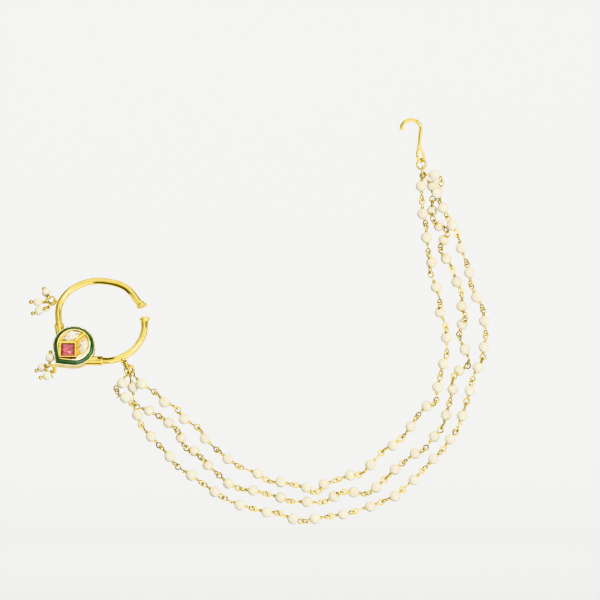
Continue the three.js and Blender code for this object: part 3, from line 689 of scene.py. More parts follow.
# Golds: light tone, deep tone, roughness, scale of the patches, bump
POLISHED_GOLD, CASE_GOLD, CELL_GOLD, RIM_GOLD, PALE_GOLD_AND_HIGHLIGHT, WIRE_GOLD = (
    gold_material(*row) for row in (
        ("polished_gold", (0.90, 0.74, 0.22), (0.78, 0.60, 0.12), (0.10, 0.20), 260.0, 0.05),
        ("case_side_gold", (0.84, 0.69, 0.34), (0.70, 0.52, 0.20), (0.24, 0.38), 340.0, 0.18),
        ("cell_floor_gold", (0.80, 0.56, 0.10), (0.36, 0.18, 0.02), (0.22, 0.40), 700.0, 0.35),
        ("rim_gold", (0.92, 0.79, 0.34), (0.84, 0.66, 0.20), (0.14, 0.26), 300.0, 0.08),
        # The pale gold colours the milgrain and the painted highlight arc on the rim
        ("pale_gold_and_highlight", (0.97, 0.93, 0.78), (0.93, 0.84, 0.58), (0.16, 0.28), 300.0, 0.10),
        ("wire_gold", (0.74, 0.62, 0.22), (0.50, 0.37, 0.08), (0.14, 0.28), 520.0, 0.10)))
ENAMEL = worked_material(
    "green_enamel", (0.010, 0.052, 0.009), (0.024, 0.115, 0.024), (0.12, 0.24), (0.0, 1.0),
    (420.0, 1500.0), ("Patches", 0.15, 0.05),
    {"Coat Weight": 0.35, "Coat Roughness": 0.1, "Specular IOR Level": 0.35})
# Painted shade: a dark brown sheet in the recess under the square stone's frame
PAINTED_RECESS_SHADE = worked_material(
    "painted_recess_shade", (0.04, 0.016, 0.003), (0.12, 0.05, 0.01), (0.45, 0.7), (0.0, 1.0),
    (900.0, 2000.0), ("Patches", 0.3, 0.05), {"Specular IOR Level": 0.1})
PEARL = pearl_material()
# Stones: name, dark and light painted facet shading, painted glint colour, streak glint, coat
PINK_STONE = stone_material("pink_stone", (0.13, 0.006, 0.007), (0.58, 0.12, 0.14),
                            (0.96, 0.72, 0.64), 0.12, 0.4)
CLEAR_STONE = stone_material("clear_stone", (0.22, 0.15, 0.06), (0.74, 0.69, 0.53),
                             (0.98, 0.97, 0.93), 0.4, 0.8)


# ---- hoop

def pad_profile():
    """Half outline of an end pad: the tube's radius eases out to a rounded lip and a flat face."""
    tube_radius = HOOP_TUBE / 2
    flare = PAD_DIAMETER / 2 - tube_radius
    s = np.linspace(0, 1, 18)
    rise = np.sin(pi / 2 * s)**2.2
    throat = np.c_[tube_radius + flare * rise, PAD_LENGTH * (0.15 + 0.66 * s)]
    b = np.linspace(0, pi / 2, 9)[1:]
    lip = np.c_[PAD_DIAMETER / 2 - 0.24 * flare * (1 - np.cos(b)),
                PAD_LENGTH * (0.86 + 0.14 * np.sin(b))]
    return [(0.0, 0.0), (tube_radius, 0.0), *throat, *lip, (tube_radius, PAD_LENGTH),
            (0.5, PAD_LENGTH)]


def ferrule_tail(ferrule):
    """Where a ferrule's axis ends inside the case."""
    return polar(PENDANT_CENTRE, CASE_RADIUS - FERRULE_SINK, ferrule["case_angle"])


def ferrule_shell(ferrule):
    """A turned sleeve from the case to the hoop: a straight taper, a rounded mouth, a fine groove,
    and a shoulder that falls as the square root of one minus the square of the way along it."""
    mouth, tail = on_hoop(*ferrule["mouth"]), ferrule_tail(ferrule)
    length = float(norm(mouth - tail))
    wide, narrow, tube_radius = FERRULE_MOUTH / 2, ferrule["tail"] / 2, HOOP_TUBE / 2
    s = np.linspace(0, 1, 12)
    body = np.c_[narrow + (wide - 0.1 - narrow) * s, (length - 0.62) * s]
    b = np.linspace(-pi / 2, 0.35, 8)
    lip = np.c_[wide - 0.1 + 0.1 * np.cos(b), length - 0.32 + 0.26 * np.sin(b)]
    groove = [(wide - 0.14, length - 0.14), (wide - 0.16, length - 0.08), (wide - 0.08, length)]
    s = np.linspace(0.06, 1, 12)
    fall = (wide - 0.06 - tube_radius) * np.sqrt(1 - s**2)
    shoulder = np.c_[tube_radius + 0.02 + fall, length + ferrule["shoulder"] * s]
    return turned([(0.05, 0.0), *body, *lip, *groove, *shoulder], tail, mouth - tail, 40)


def hoop_shells():
    """Two tubes from the gap to the case, a ferrule on each, and the two end pads."""
    shells, pads = [], []
    for side, form, ferrule in ((1, UPPER_FORM, UPPER_FERRULE), (-1, LOWER_FORM, LOWER_FERRULE)):
        end = on_hoop(GAP_DIRECTION + side * GAP_HALF)
        path = smooth_path([end, *[on_hoop(*at) for at in form], ferrule_tail(ferrule)], 120)
        shells += [tube(path, HOOP_TUBE / 2, TUBE_SIDES, VIEW), ferrule_shell(ferrule)]
        way = heading(GAP_DIRECTION + side * (GAP_HALF - 90))
        pads.append(turned(pad_profile(), end - way * PAD_LENGTH, way, TUBE_SIDES))
    return shells + pads[::-1]


def hoop_surface(form, angle):
    """The outer side of the tube at an angle, between the two rows of its form that hold it."""
    angles, reaches = np.array(sorted(form)).T
    out = heading(angle)
    return on_hoop(angle, float(np.interp(angle, angles, reaches))) + out * HOOP_TUBE / 2, out


def eyelet(surface, out, axis):
    """A small ring soldered onto a surface: its centre and its shells, the ring and the solder."""
    centre = surface + out * (EYELET[0] - EYELET_BITE)
    s = np.linspace(0, 1, 6)
    bead = [(0.02, 0.0), *np.c_[0.62 - 0.22 * s**2, 0.42 * s], (0.02, 0.5)]
    solder = turned(bead, surface - out * 0.25, out, 20)
    return centre, [hoop_ring(centre, axis, *EYELET, None, 40, 14), solder]


UPPER_EYE, upper_loop = eyelet(*hoop_surface(UPPER_FORM, UPPER_EYE_ANGLE),
                               heading(UPPER_EYE_ANGLE + 90))
pendant_corner = polar(PENDANT_CENTRE, (CASE_RADIUS - FLANGE_WIDTH / 2) * CORNER_REACH,
                       PENDANT_DIRECTION)
LOWER_EYE, lower_loop = eyelet(pendant_corner, heading(PENDANT_DIRECTION),
                               heading(PENDANT_DIRECTION + 90))
CHAIN_EYE, chain_loop = eyelet(*hoop_surface(LOWER_FORM, CHAIN_EYE_ANGLE), VIEW)
make_piece("gold_hoop", lean_shells(hoop_shells() + upper_loop + lower_loop + chain_loop),
           [POLISHED_GOLD], ["hoop_and_case"], sharp=32)


# ---- pendant; its profiles are rows (distance from the middle, height over the hoop's plane)

def case_shells():
    """The case: side, rim and floor, painted shade under the square frame, a pale painted
    highlight.
    """
    back, top, inner = LEDGE_HEIGHT - CASE_WALL, FACE_HEIGHT, FACE_RADIUS - RIM_WIDTH
    side = rounded([
        (0.1, back),
        *rows_at(CASE_RADIUS, back,
                 (-1.6, 0), (-1.5, 0.18), (-1.1, 0.18), (-0.9, 0.02), (-0.1, 0.06), (0, 0.5)),
        (CASE_RADIUS - 0.1, 0.2),
        *rows_at(CASE_RADIUS, LEDGE_HEIGHT, (-0.08, -0.55), (0, -0.35), (0, -0.12), (-0.3, -0.1)),
        (FACE_RADIUS + 0.4, LEDGE_HEIGHT - 0.1),
        *rows_at(FACE_RADIUS, top, (0, -0.9), (-0.2, -1.1)), (0.1, top - 1.1)], 0.14)
    rim = rounded([
        (inner, FLOOR_HEIGHT - 0.3), (FACE_RADIUS, FLOOR_HEIGHT - 0.3),
        *rows_at(FACE_RADIUS, top, (0.02, -0.3), (-0.22, 0)),
        *rows_at(inner, top, (0.12, -0.05), (0, -0.35)), (inner, FLOOR_HEIGHT - 0.2)], 0.12)
    floor = rounded([
        (0.1, FLOOR_HEIGHT - 0.25),
        *rows_at(FACE_RADIUS - RIM_WIDTH / 2, FLOOR_HEIGHT, (0, -0.25), (0, 0)),
        (0.1, FLOOR_HEIGHT)], 0.05)
    # Painted shade: a dark sheet over the recess under the square stone's frame
    shade_sheet_profile = [(-5.12, 3.48), (-5.46, 3.48), (-5.5, 2.6), (-5.86, 2.56), (-5.86, 2.3), (-5.12, 2.3)]
    painted_shade_sheet = np.array([[on_face(x, z) - VIEW * h for z, h in shade_sheet_profile]
                      for x in np.linspace(-5.45, 0.95, 12)])
    # Painted highlight: a pale arc laid over the rim at the lower right
    turn = np.radians(np.linspace(-96, 14, 30))
    inset = inner + 0.05 - 1.5 * np.sin(np.linspace(0, pi, 30))**0.8
    swell = teardrop_reach(np.mod(turn - radians(PENDANT_DIRECTION), 2 * pi))
    over_rim = [(FACE_RADIUS - 0.2, FLOOR_HEIGHT - 0.1),
                *rows_at(FACE_RADIUS, top, (-0.06, -0.14), (-0.22, 0.03)),
                *rows_at(inner, top, (0.12, -0.02), (-0.02, -0.35))]
    painted_highlight_crescent = np.array([[on_face(r * s * cos(a), r * s * sin(a)) - VIEW * h for r, h in (
        *over_rim, (edge, FLOOR_HEIGHT + 0.06), (edge, FLOOR_HEIGHT - 0.1))]
        for a, edge, s in zip(turn, inset, swell)])
    return [(*teardrop_plates(side, "capped"), 0), (*teardrop_plates(rim, "closed"), 1),
            (*teardrop_plates(floor, "capped"), 2), (painted_shade_sheet, "capped", 3), (painted_highlight_crescent, "capped", 4)]


def milgrain_shells():
    """A row of low balls, half sunk in the flange at equal steps along the teardrop's outline."""
    half = CASE_RADIUS - 0.17
    a = np.linspace(0, 2 * pi, 720)
    far = far_along(np.stack([half * teardrop_reach(a) * f(a) for f in (np.cos, np.sin)], 1))
    angles = np.interp(np.linspace(0, far[-1], MILGRAIN_COUNT, endpoint=False), far, a)
    spots = [polar(PENDANT_CENTRE, reach, degrees(angle) + PENDANT_DIRECTION)
             for angle, reach in zip(angles, half * teardrop_reach(angles))]
    return [ball(spot - VIEW * (LEDGE_HEIGHT - 0.06), -VIEW, MILGRAIN_RADIUS, 6, 8)
            for spot in spots]


def band_shells():
    """The enamel band: a slope from the rim down to the flange, bowed by the sine of the way."""
    s = np.linspace(0, 1, 9)[:, None]
    top = np.array([FACE_RADIUS + 0.14, FACE_HEIGHT - 0.2])
    low = np.array([FACE_RADIUS + BAND_WIDTH - 0.04, LEDGE_HEIGHT + 0.02])
    slope = top + (low - top) * s + 0.16 * np.sin(pi * s)
    return [teardrop_plates([*slope, (FACE_RADIUS + 0.6, LEDGE_HEIGHT + 0.02),
                             (FACE_RADIUS + 0.08, FACE_HEIGHT - 0.5)], "closed")]


def cell_shells():
    """Gold walls of the three cells, and the ridged bar between the two leaves."""
    inner = SQUARE["half"] + STONE_GAP - 0.02
    outer, high, rise = inner + 0.82, FACE_HEIGHT + 0.25, FLOOR_HEIGHT + 0.35
    wall = rounded([(inner, CELL_FLOOR), (outer - 0.05, CELL_FLOOR),
                    *rows_at(outer, high, (0, -0.5), (-0.1, -0.02)),
                    *rows_at(inner, high, (0.22, 0), (0, -0.22)), (inner, CELL_FLOOR + 0.1)], 0.1)
    leaf_wall = rounded([(-0.3, CELL_FLOOR), (0.02, CELL_FLOOR),
                         *rows_at(0, rise, (0.02, -0.2), (-0.06, 0), (-0.22, 0), (-0.3, -0.12)),
                         (-0.3, CELL_FLOOR + 0.1)], 0.06)
    bar_ends = [polar(on_face(2.37, 3.33), d, 40) - VIEW * 2.85 for d in (-2.45, 2.45)]
    from_end = np.minimum(np.arange(24), np.arange(24)[::-1])
    taper = 0.46 * np.minimum(1, from_end / 2.0 + 0.55)
    return [plates(wall, square_reach, 0, on_face(*SQUARE["at"]), 64, "closed"),
            leaf_plates(UPPER_LEAF, STONE_GAP + 0.3, leaf_wall),
            leaf_plates(SIDE_LEAF, STONE_GAP + 0.3, leaf_wall),
            tube(np.linspace(*bar_ends, 24), taper, 12, VIEW, flat=0.85)]


def square_stone():
    """Step cut: square outlines step in and up to a table of nine tones of painted light and shade.
    """
    half = SQUARE["half"]
    steps = [(half, CELL_FLOOR + STONE_GAP), (half, FACE_HEIGHT - 0.05),
             (half * 0.8, FACE_HEIGHT + 0.2), (half * 0.55, FACE_HEIGHT + 0.3)]
    x0, _, z0 = on_face(*SQUARE["at"])
    points = [(x0 + x * s, -h, z0 + z * s) for s, h in steps
              for x, z in ((1, 1), (-1, 1), (-1, -1), (1, -1))]
    table, top = steps[-1]
    points.append((x0 + 0.25, -top, z0 - 0.1))
    points += [(x0 + x * table, -top, z0 + z * table)
               for x, z in ((0.25, -1), (0.85, -1), (0.32, -0.68), (0.8, -0.68))]
    faces = [[3, 2, 1, 0]]
    faces += [[a + i, a + (i + 1) % 4, a + 4 + (i + 1) % 4, a + 4 + i]
              for a in (0, 4, 8) for i in range(4)]
    faces[-2] = [10, 11, 15, 18, 17, 14]
    faces += [[12, 13, 16], [13, 14, 16], [14, 17, 16], [17, 19, 16], [19, 20, 16],
              [17, 18, 20, 19], [18, 15, 20], [20, 15, 16], [15, 12, 16]]
    # Painted light and shade: top and left bevels dark, the table light at left and darker at right
    tones = [0.2, 0.1, 0.1, 0.2, 0.1, 0.02, 0.15, 0.55, 0.25, 0.5, 0.92, 0.72, 0.38,
             # The face of tone 1.0 near the lower right corner is a painted glint
             0.58, 0.9, 0.66, 0.56, 0.46, 1.0, 0.42, 0.4, 0.36]
    return leaned(points), faces, tones


def leaf_stone(leaf, seed, sides=16):
    """A foil-backed leaf: outlines at the girdle and the table, and a low peaked middle."""
    chance = np.random.default_rng(seed)
    # Random facet tones from these shades are painted reflections; tone 1.0 is a painted glint
    shades = [0.0, 0.3, 0.6, 0.85, 0.92, 1.0]
    reach = leaf_reach(leaf["width"] / leaf["length"])
    half, place = leaf["length"] / 2, on_face(*leaf["at"])
    foot, girdle = CELL_FLOOR + STONE_GAP, FLOOR_HEIGHT + 0.35
    rows = [(half, foot), (half, girdle), (half * 0.8, girdle + 0.2),
            (half * 0.56, FACE_HEIGHT - 0.02)]
    rings = [plate_ring(h, reach, z, leaf["turn"], place, sides) for h, z in rows]
    rings[3] = rings[3] + chance.uniform(-0.06, 0.06, (sides, 3)) * [1, 0.4, 1]
    points = np.vstack(rings + [place - VIEW * foot, place - VIEW * (FACE_HEIGHT + 0.1)])
    low, top = len(points) - 2, len(points) - 1
    faces, tones = [], []
    for i in range(sides):
        j = (i + 1) % sides
        faces.append([low, j, i])
        tones.append(0.3)
        for a in (0, sides, 2 * sides):
            faces.append([a + i, a + j, a + sides + j, a + sides + i])
            tones.append(chance.choice(shades, p=[0.1, 0.15, 0.2, 0.25, 0.2, 0.1]) if a else 0.3)
    for i in range(0, sides, 2):
        faces.append([*(3 * sides + (i + k) % sides for k in range(3)), top])
        tones.append(chance.choice(shades, p=[0.05, 0.1, 0.2, 0.25, 0.25, 0.15]))
    return leaned(points), faces, tones


for name, shells, looks, sharp in (
        ("pendant_case", case_shells(), [CASE_GOLD, RIM_GOLD, CELL_GOLD, PAINTED_RECESS_SHADE, PALE_GOLD_AND_HIGHLIGHT], 40),
        ("milgrain_edge", milgrain_shells(), [PALE_GOLD_AND_HIGHLIGHT], 38),
        ("stone_cells", cell_shells(), [POLISHED_GOLD], 34)):
    make_piece(name, lean_shells(shells), looks, ["hoop_and_case"], sharp)
make_piece("enamel_ring", lean_shells(band_shells()), [ENAMEL], ["enamel_band"])
facet_piece("pink_square_stone", *square_stone(), PINK_STONE, "pink_stone", ["square_stone"])
for name, leaf, seed in (("upper_leaf", UPPER_LEAF, 5), ("side_leaf", SIDE_LEAF, 9)):
    facet_piece(f"{name}_cut", *leaf_stone(leaf, seed), CLEAR_STONE, "clear_stone",
                [f"{name}_stone"])


# ---- bunches

def wire_piece(name, shells, *nodes):
    make_piece(name, shells, [WIRE_GOLD], nodes)


def hang_bunch(name, eyelet_centre, direction, pins, tones, left_over):
    """A jump ring in an eyelet, and head pins that hang from it by an eye and carry a pearl each;
    left_over lists the paths of loose wire at the last pin."""
    centre = polar(eyelet_centre, linked_reach(EYELET, BUNCH_RING), direction)
    ring = [hoop_ring(centre, VIEW, *BUNCH_RING, heading(direction + 70))]
    ring += [ring_wrap(centre, VIEW, *BUNCH_RING, heading(direction + at), span, turns, 0.5)
             for at, span, turns in ((-8, 50, 3), (118, 70, 4))]
    wire_piece(f"{name}_jump_ring", lean_shells(ring), f"{name}_bunch_ring")
    for number, ((spot, aim_angle, forward, neck), tone) in enumerate(zip(pins, tones), 1):
        eye = polar(centre, linked_reach(BUNCH_RING, PIN_EYE), spot)
        along, forward = heading(spot + 90), radians(forward)
        aim = cos(forward) * heading(aim_angle) - VIEW * sin(forward)
        rim = square_to(aim, along)
        start = eye + rim * PIN_EYE[0]
        bare = SMALL_PEARL * neck
        pearl = start + aim * (bare + SMALL_PEARL / 2)
        head = pearl + aim * (SMALL_PEARL / 2 + PIN_BALL / 2 + SEAT_GAP)
        shells = [wound_eye(eye, along, rim), straight_wire(start, head, PIN_EYE[1] / 2),
                  ball(head, aim, PIN_BALL / 2)]
        if bare > 0.25:
            turns = max(1, round(bare / WRAP_WIRE))
            shells.append(coil(start, aim, bare, turns, wrap_reach(PIN_EYE[1])))
        if number == len(pins):
            shells += [tube(smooth_path(points, 30), 0.17, 8, VIEW) for points in left_over]
        wire_piece(f"{name}_head_pin_{number}", lean_shells(shells), f"{name}_pin_{number}")
        make_piece(f"{name}_small_pearl_{number}", lean_shells([
            ball(pearl, aim, SMALL_PEARL / 2 * SMALL_SWELL, 18, 28, BORE_RADIUS)]),
            [PEARL], [f"{name}_pearl_{number}"], tones=[tone])


curl_turn = np.radians([90, 135, 180, 225, 270, 315, 360, 400])
upper_curl = np.c_[-37.1 + 1.1 * np.cos(curl_turn), [0.5, 0.3, 0.15, 0.05, 0, -0.05, -0.12, -0.2],
                   1.58 + 1.1 * np.sin(curl_turn)]
lower_ends = [[(-34.84, -0.9, -24.7), (-34.0, -0.9, -24.4), (-33.3, -0.7, -24.5),
               (-32.87, -0.6, -24.8)],
              [(-34.74, -0.55, -25.4), (-34.5, -0.6, -26.1), (-34.0, -0.4, -26.95)]]
hang_bunch("upper", UPPER_EYE, UPPER_BUNCH_TURN, UPPER_PINS, (0.35, 0.8, 0.55), [upper_curl])
hang_bunch("lower", LOWER_EYE, LOWER_BUNCH_TURN, LOWER_PINS, (0.2, 0.65, 0.9), lower_ends)


# ---- chain

link_centre = polar(CHAIN_EYE, linked_reach(EYELET, LINK), CHAIN_FALL)
link = (link_centre, heading(CHAIN_FALL + 90), *LINK)
wire_piece("chain_jump_ring", lean_shells([
    hoop_ring(*link, [0.0, -1.0, 0.2]), ring_wrap(*link, -VIEW, 104, 5, 0.62),
    ring_wrap(*link, VIEW, 104, 5, 0.62)]), "chain_link")
link_foot = leaned(polar(link_centre, LINK[0], CHAIN_FALL))
COLLECTOR = polar(link_foot, linked_reach((0, LINK[1]), COLLECTING_RING), CHAIN_FALL)
collector = (COLLECTOR, VIEW, *COLLECTING_RING)
wire_piece("collecting_jump_ring", [
    hoop_ring(*collector, heading(60)), ring_wrap(*collector, heading(35), 80, 6),
    coil(COLLECTOR + beside(-0.35, 1.35), unit([0.25, -0.1, -1.0]), 2.6, 5, 0.52)],
    "collecting_ring")
GATHER = COLLECTOR + beside(CHAIN_REACH, CHAIN_RISE)


def bead_centres(route, lane):
    """Cubic through the chosen beads by bead number: ease from row to row plus a bow by slope."""
    rows = np.array(route)
    bead, value = rows[:, 0], rows[:, 1:]
    before = np.maximum(np.arange(len(rows)) - 1, 0)
    after = np.minimum(np.arange(len(rows)) + 1, len(rows) - 1)
    slope = (value[after] - value[before]) / (bead[after] - bead[before])[:, None]
    wanted = np.arange(1, int(bead[-1]) + 1)
    i = np.minimum(np.searchsorted(bead, wanted, side="right") - 1, len(rows) - 2)
    span = (bead[i + 1] - bead[i])[:, None]
    t = (wanted - bead[i])[:, None] / span
    bow = span * t * (1 - t) * ((1 - t) * slope[i] - t * slope[i + 1])
    at = value[i] + (value[i + 1] - value[i]) * t * t * (3 - 2 * t) + bow
    return COLLECTOR + np.c_[at[:, 0] * CHAIN_REACH, np.full(len(at), lane * STRAND_LANE),
                             at[:, 1] * CHAIN_RISE]


def turned_about(vector, axis, angle):
    """Vector turned about a unit axis square to it: v cosine + (axis x v) sine."""
    return vector * cos(radians(angle)) + np.cross(axis, vector) * sin(radians(angle))


def eye_and_neck(eye, axis, bead, radius, tail=None):
    """A wire eye, its neck to the bead, and the wire wound round the neck.

    The eye is centre + radius (cosine rim + shape sine side), where shape shrinks towards the
    neck. A tail is the cut end of the wire, which leaves the winding in that direction.
    """
    rim = square_to(unit(bead - eye), axis)
    start = eye + rim * radius
    way = unit(bead - start)
    skin = bead - way * (BEAD / 2 - 0.12)
    turn = round_steps(24)
    shape = 1 - 0.16 * np.cos(turn) - 0.1 * np.cos(turn)**2
    loop = eye + radius * (np.cos(turn) * rim + shape * np.sin(turn) * np.cross(axis, rim))
    length = min(LONGEST_NECK, max(float(norm(skin - start)), SHORTEST_NECK))
    around = wrap_reach(EYE_WIRE)
    shells = [tube(loop, EYE_WIRE / 2, 6, axis, closed=True),
              straight_wire(start - rim * 0.1, skin, EYE_WIRE / 2, 6),
              coil(skin + way * 0.1, -way, length, 3 if length > 0.9 else 2, around)]
    if tail is not None:
        out = square_to(tail, way)
        root = skin - way * length
        path = [root + out * far - way * back
                for far, back in ((0, 0), (around, 0), (around + 0.5, 0.1), (around + 0.8, 0.4))]
        shells.append(tube(smooth_path(path, 10), WRAP_WIRE / 2, 6, np.cross(way, out)))
    return shells


def link_pair(earlier, later, shift, back, chance):
    """Two linked eyes between neighbouring beads, square to each other.

    They meet at the middle between the beads + shift + depth, where the depth keeps SHORTEST_REACH
    to the nearer bead. Chance turns the pair about the strand and spreads it.
    """
    along = unit(later - earlier)
    meeting = (earlier + later) / 2 + shift
    nearest = min(norm(meeting - earlier), norm(meeting - later))
    meeting += VIEW * back * sqrt(max(SHORTEST_REACH**2 - nearest**2, 0))
    spacing = chance.uniform(CLOSEST_EYES, 2 * LOOP_RADIUS - EYE_WIRE)
    flat = turned_about(square_to(VIEW, along), along, chance.uniform(*PAIR_TURNS))
    edge = np.cross(along, flat)
    if chance.random() < 0.5:
        flat, edge = edge, flat
    return (meeting - along * spacing / 2, flat), (meeting + along * spacing / 2, edge)


def strand_shells(strand, route, lane, seed):
    """One strand: bored beads, and linked eyes between neighbours, with the beads' tones."""
    chance = np.random.default_rng(seed)
    beads = bead_centres(route, lane)
    for number, shift in BEAD_SHIFTS[strand].items():
        beads[number - 1] += beside(*shift) / 10
    angle = degrees(atan2(*(beads[0] - COLLECTOR)[[2, 0]]))
    first = polar(COLLECTOR, linked_reach(COLLECTING_RING, PIN_EYE), angle)
    radius, wire = GATHERING_RING
    across = lane * BUNCH_SPREAD
    hang = GATHER + [0, across, -sqrt(radius**2 - across**2)]
    away = unit((beads[-1] - hang) * [1, 0, 1])
    last = hang + away * linked_reach((0, wire), PIN_EYE)
    eyes_in = [(first, turned_about(heading(angle + 90), heading(angle), FIRST_EYE_TURN[strand]))]
    eyes_out = []
    for number, (earlier, later) in enumerate(zip(beads[:-1], beads[1:]), 1):
        shift = beside(*PAIR_SHIFTS[strand].get(number, (0, 0))) / 10
        behind, ahead = link_pair(earlier, later, shift, 1 if strand == "outer" else -1, chance)
        eyes_out.append(behind)
        eyes_in.append(ahead)
    eyes_out.append((last, VIEW))
    pearls, wires = [], []
    for number, (bead, eye_in, eye_out) in enumerate(zip(beads, eyes_in, eyes_out), 1):
        radius = BEAD / 2 * chance.uniform(*PEARL_SWELL)
        pearls.append(ball(bead, eye_out[0] - eye_in[0], radius, 15, 24, BORE_RADIUS))
        tail = DOWN + chance.uniform(-0.8, 0.8, 3) if chance.random() < CUT_END_SHARE else None
        if (strand, number) == ("outer", 2):
            tail = beside(-1.0, -1.0)
        wires += eye_and_neck(*eye_in, bead, PIN_EYE[0] if number == 1 else LOOP_RADIUS, tail)
        wires += eye_and_neck(*eye_out, bead, PIN_EYE[0] if number == len(beads) else LOOP_RADIUS)
    return pearls, wires, chance.uniform(0, 1, len(pearls))


for strand, route, lane, seed in (("inner", INNER_ROUTE, 0, 3), ("middle", MIDDLE_ROUTE, 1, 7),
                                  ("outer", OUTER_ROUTE, -1, 11)):
    pearls, wires, tones = strand_shells(strand, route, lane, seed)
    make_piece(f"{strand}_pearls", pearls, [PEARL], [f"{strand}_strand"], tones=tones)
    wire_piece(f"{strand}_wire_eyes", wires,
               f"{strand}_strand", f"{strand}_stem_front", f"{strand}_stem_back")


# ---- hook

wire_piece("gathering_jump_ring",
           [hoop_ring(GATHER, (1.0, 0.0, 0.0), *GATHERING_RING, [0.0, 1.0, 0.5])], "gathering_ring")
hook_ring_centre = polar(GATHER, linked_reach(GATHERING_RING, HOOK_RING) - 0.35, 100)
wire_piece("hook_jump_ring",
           [hoop_ring(hook_ring_centre, level(55), *HOOK_RING, level(145))], "hook_ring")


def hook_shells():
    """The hook: an arc of wire, its shank, and two bowed wires that close into the long eye."""
    foot = polar(hook_ring_centre, linked_reach(HOOK_RING, HOOK_EYE), 90)
    neck = foot + beside(-0.9, 6.1)
    bend = neck + beside(-3.0, 6.0)
    arc = [polar(bend, 3.8, a) for a in np.linspace(181, 18, 9)]
    path = smooth_path([*arc, neck + (arc[-1] - neck) * 0.4, neck], 90)
    radius = np.full(90, HOOK_WIRE / 2)
    radius[:4] *= [0.72, 0.88, 0.96, 1.0]
    radius[-26:] *= np.linspace(1.0, 0.86, 26)
    shells = [tube(path, radius, 20, VIEW)]
    wide = level(45)
    form = [(1.06, 0.0), (0.86, 0.28), (0.42, 1.0), (0.07, 0.6), (0.0, -0.16)]
    for sign in (1, -1):
        points = [foot + (neck - foot) * along + wide * sign * across * 1.75
                  for along, across in form]
        shells.append(tube(smooth_path(points, 48), HOOK_EYE[1] / 2, 16, np.cross(wide, -DOWN)))
    return shells


make_piece("bent_hair_hook", hook_shells(), [POLISHED_GOLD], ["hair_hook"])


# ---- studio, in metres

def studio_floor():
    """A round dish: flat floor, then a quarter circle up to an upright wall, all one surface."""
    b = np.linspace(0, pi / 2, 20)[1:]
    profile = np.vstack([np.c_[0.01 + 1.9 * np.linspace(0, 1, 24), np.zeros(24)],
                         np.c_[1.91 + 0.9 * np.sin(b), 0.9 * (1 - np.cos(b))],
                         [(2.81, 1.5), (2.81, 2.4)]])
    sides = 72
    turn = round_steps(sides)[:, 0]
    rings = np.stack([profile[:, :1] * np.cos(turn), profile[:, :1] * np.sin(turn),
                      np.repeat(profile[:, 1:], sides, 1) - 0.17], -1)
    quads = np.array(faces_of(len(rings), sides, "capped")[:-2 * sides])[:, [0, 3, 2, 1]]
    mesh = new_mesh("studio_floor", rings.reshape(-1, 3), [*quads.tolist(), list(range(sides))])
    material, n, shader = new_material("pale_floor")
    clouds = n.noise(n.place(), 3.0, 3.0)
    n.fill(shader, {"Base Color": n.blend(clouds, (0.90, 0.90, 0.89), (0.93, 0.93, 0.925)),
                    "Roughness": 0.9})
    mesh.materials.append(material)
    floor = add_object("studio_floor", mesh)
    floor.visible_diffuse = floor.visible_shadow = False


def mirror_card(name, place, facing, size, tint, glow=0.0, glow_behind=0.0):
    """A card that only reflections see, dark or glowing, so that the polished metal has depth."""
    side, top = axes_of(facing)
    corners = [np.array(place) + side * a * size[0] / 2 + top * b * size[1] / 2
               for a, b in ((-1, -1), (1, -1), (1, 1), (-1, 1))]
    mesh = bpy.data.meshes.new(name)
    mesh.from_pydata(corners, [], [range(4)])
    material, n, shader = new_material(name + "_card")
    backfacing = n.add("NewGeometry").outputs["Backfacing"]
    n.fill(shader, {"Base Color": (*tint, 1), "Roughness": 1.0,
                    "Emission Color": (1.0, 0.99, 0.96, 1),
                    "Emission Strength": n.scaled(backfacing, glow, glow_behind)})
    mesh.materials.append(material)
    card = add_object(name, mesh)
    card.visible_camera = card.visible_shadow = card.visible_diffuse = False


def soft_light(name, place, target, size, power):
    lamp = bpy.data.lights.new(name, "AREA")
    lamp.shape = "RECTANGLE"
    lamp.size, lamp.size_y = size
    lamp.energy = power
    light = add_object(name, lamp)
    light.location = place
    aim = Vector(target) - Vector(place)
    light.rotation_euler = aim.to_track_quat("-Z", "Y").to_euler()


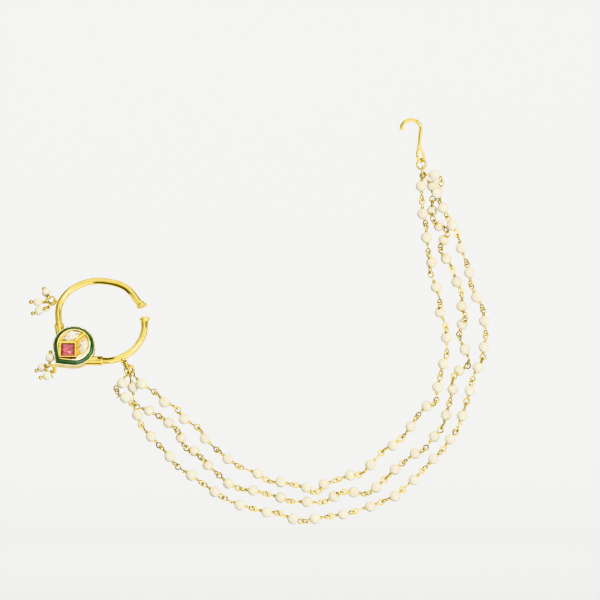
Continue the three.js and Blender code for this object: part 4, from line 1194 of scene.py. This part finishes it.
studio_floor()
for light in (("key_light", (0.05, -0.85, 0.8), (0.02, 0, 0), (1.0, 0.8), 3.6),
              ("glint_light", (0.55, -1.1, 0.35), (0.04, 0, 0), (0.25, 0.25), 12),
              ("right_light", (1.0, -0.4, 0.05), (0, 0, 0), (0.35, 0.9), 6.2),
              ("left_light", (-1.0, -0.5, 0.1), (0, 0, 0), (0.5, 0.9), 1.5),
              ("top_light", (0.05, -0.1, 1.1), (0.04, 0, 0), (1.2, 0.8), 4),
              ("low_light", (0.05, -0.25, -0.165), (0.05, -0.2, 0), (0.5, 0.2), 0.35),
              ("front_light", (0.1, -2.5, 0.35), (0.04, 0, 0), (2.2, 1.4), 5.5),
              ("wall_light", (0, 1.3, 1.6), (0, 2.8, 0.2), (2.5, 0.8), 38)):
    soft_light(*light)
# Two small cards close to the gold dull its glare, and the far ones tint what it mirrors
for card in (("flag_at_top", (-0.0128, -0.003, 0.0065), (0, 0, 1), (0.014, 0.0115),
              (0.10, 0.07, 0.035), 0.0, 1.2),
             ("flag_at_ferrule", (-0.0148, -0.0125, -0.011), (0, 0, -1), (0.013, 0.0062),
              (0.05, 0.025, 0.012), 0.0, 1.2),
             ("flag_behind", (0.03, 0.9, 0), (0, -1, 0), (1.4, 1.4), (0.38, 0.30, 0.18)),
             ("flag_below", (-0.12, -0.065, -0.13), (0, 0, 1), (0.08, 0.24), (0.25, 0.16, 0.08)),
             ("shine_below", (0.16, -0.17, -0.16), (0, 0, 1), (0.32, 0.3), (0.9, 0.9, 0.9), 3.0)):
    mirror_card(*card)

world = bpy.data.worlds.new("studio_world")
bpy.context.scene.world = world
world.use_nodes = True
sky = world.node_tree.nodes["Background"].inputs
sky["Color"].default_value = (1.0, 0.99, 0.97, 1)
sky["Strength"].default_value = 0.37

# The photograph's frame: 600 pixels are 228 mm at the chain
SPAN = 0.228
DISTANCE = 2.0
camera_data = bpy.data.cameras.new("camera")
camera_data.sensor_width = 36
camera_data.lens = 36 * DISTANCE / SPAN
camera = add_object("camera", camera_data)
camera.location = (0.05947, -DISTANCE - 0.004, 0.00472)
camera.rotation_euler = (pi / 2, 0, 0)
bpy.context.scene.camera = camera
bpy.context.scene.view_settings.view_transform = "Khronos PBR Neutral"
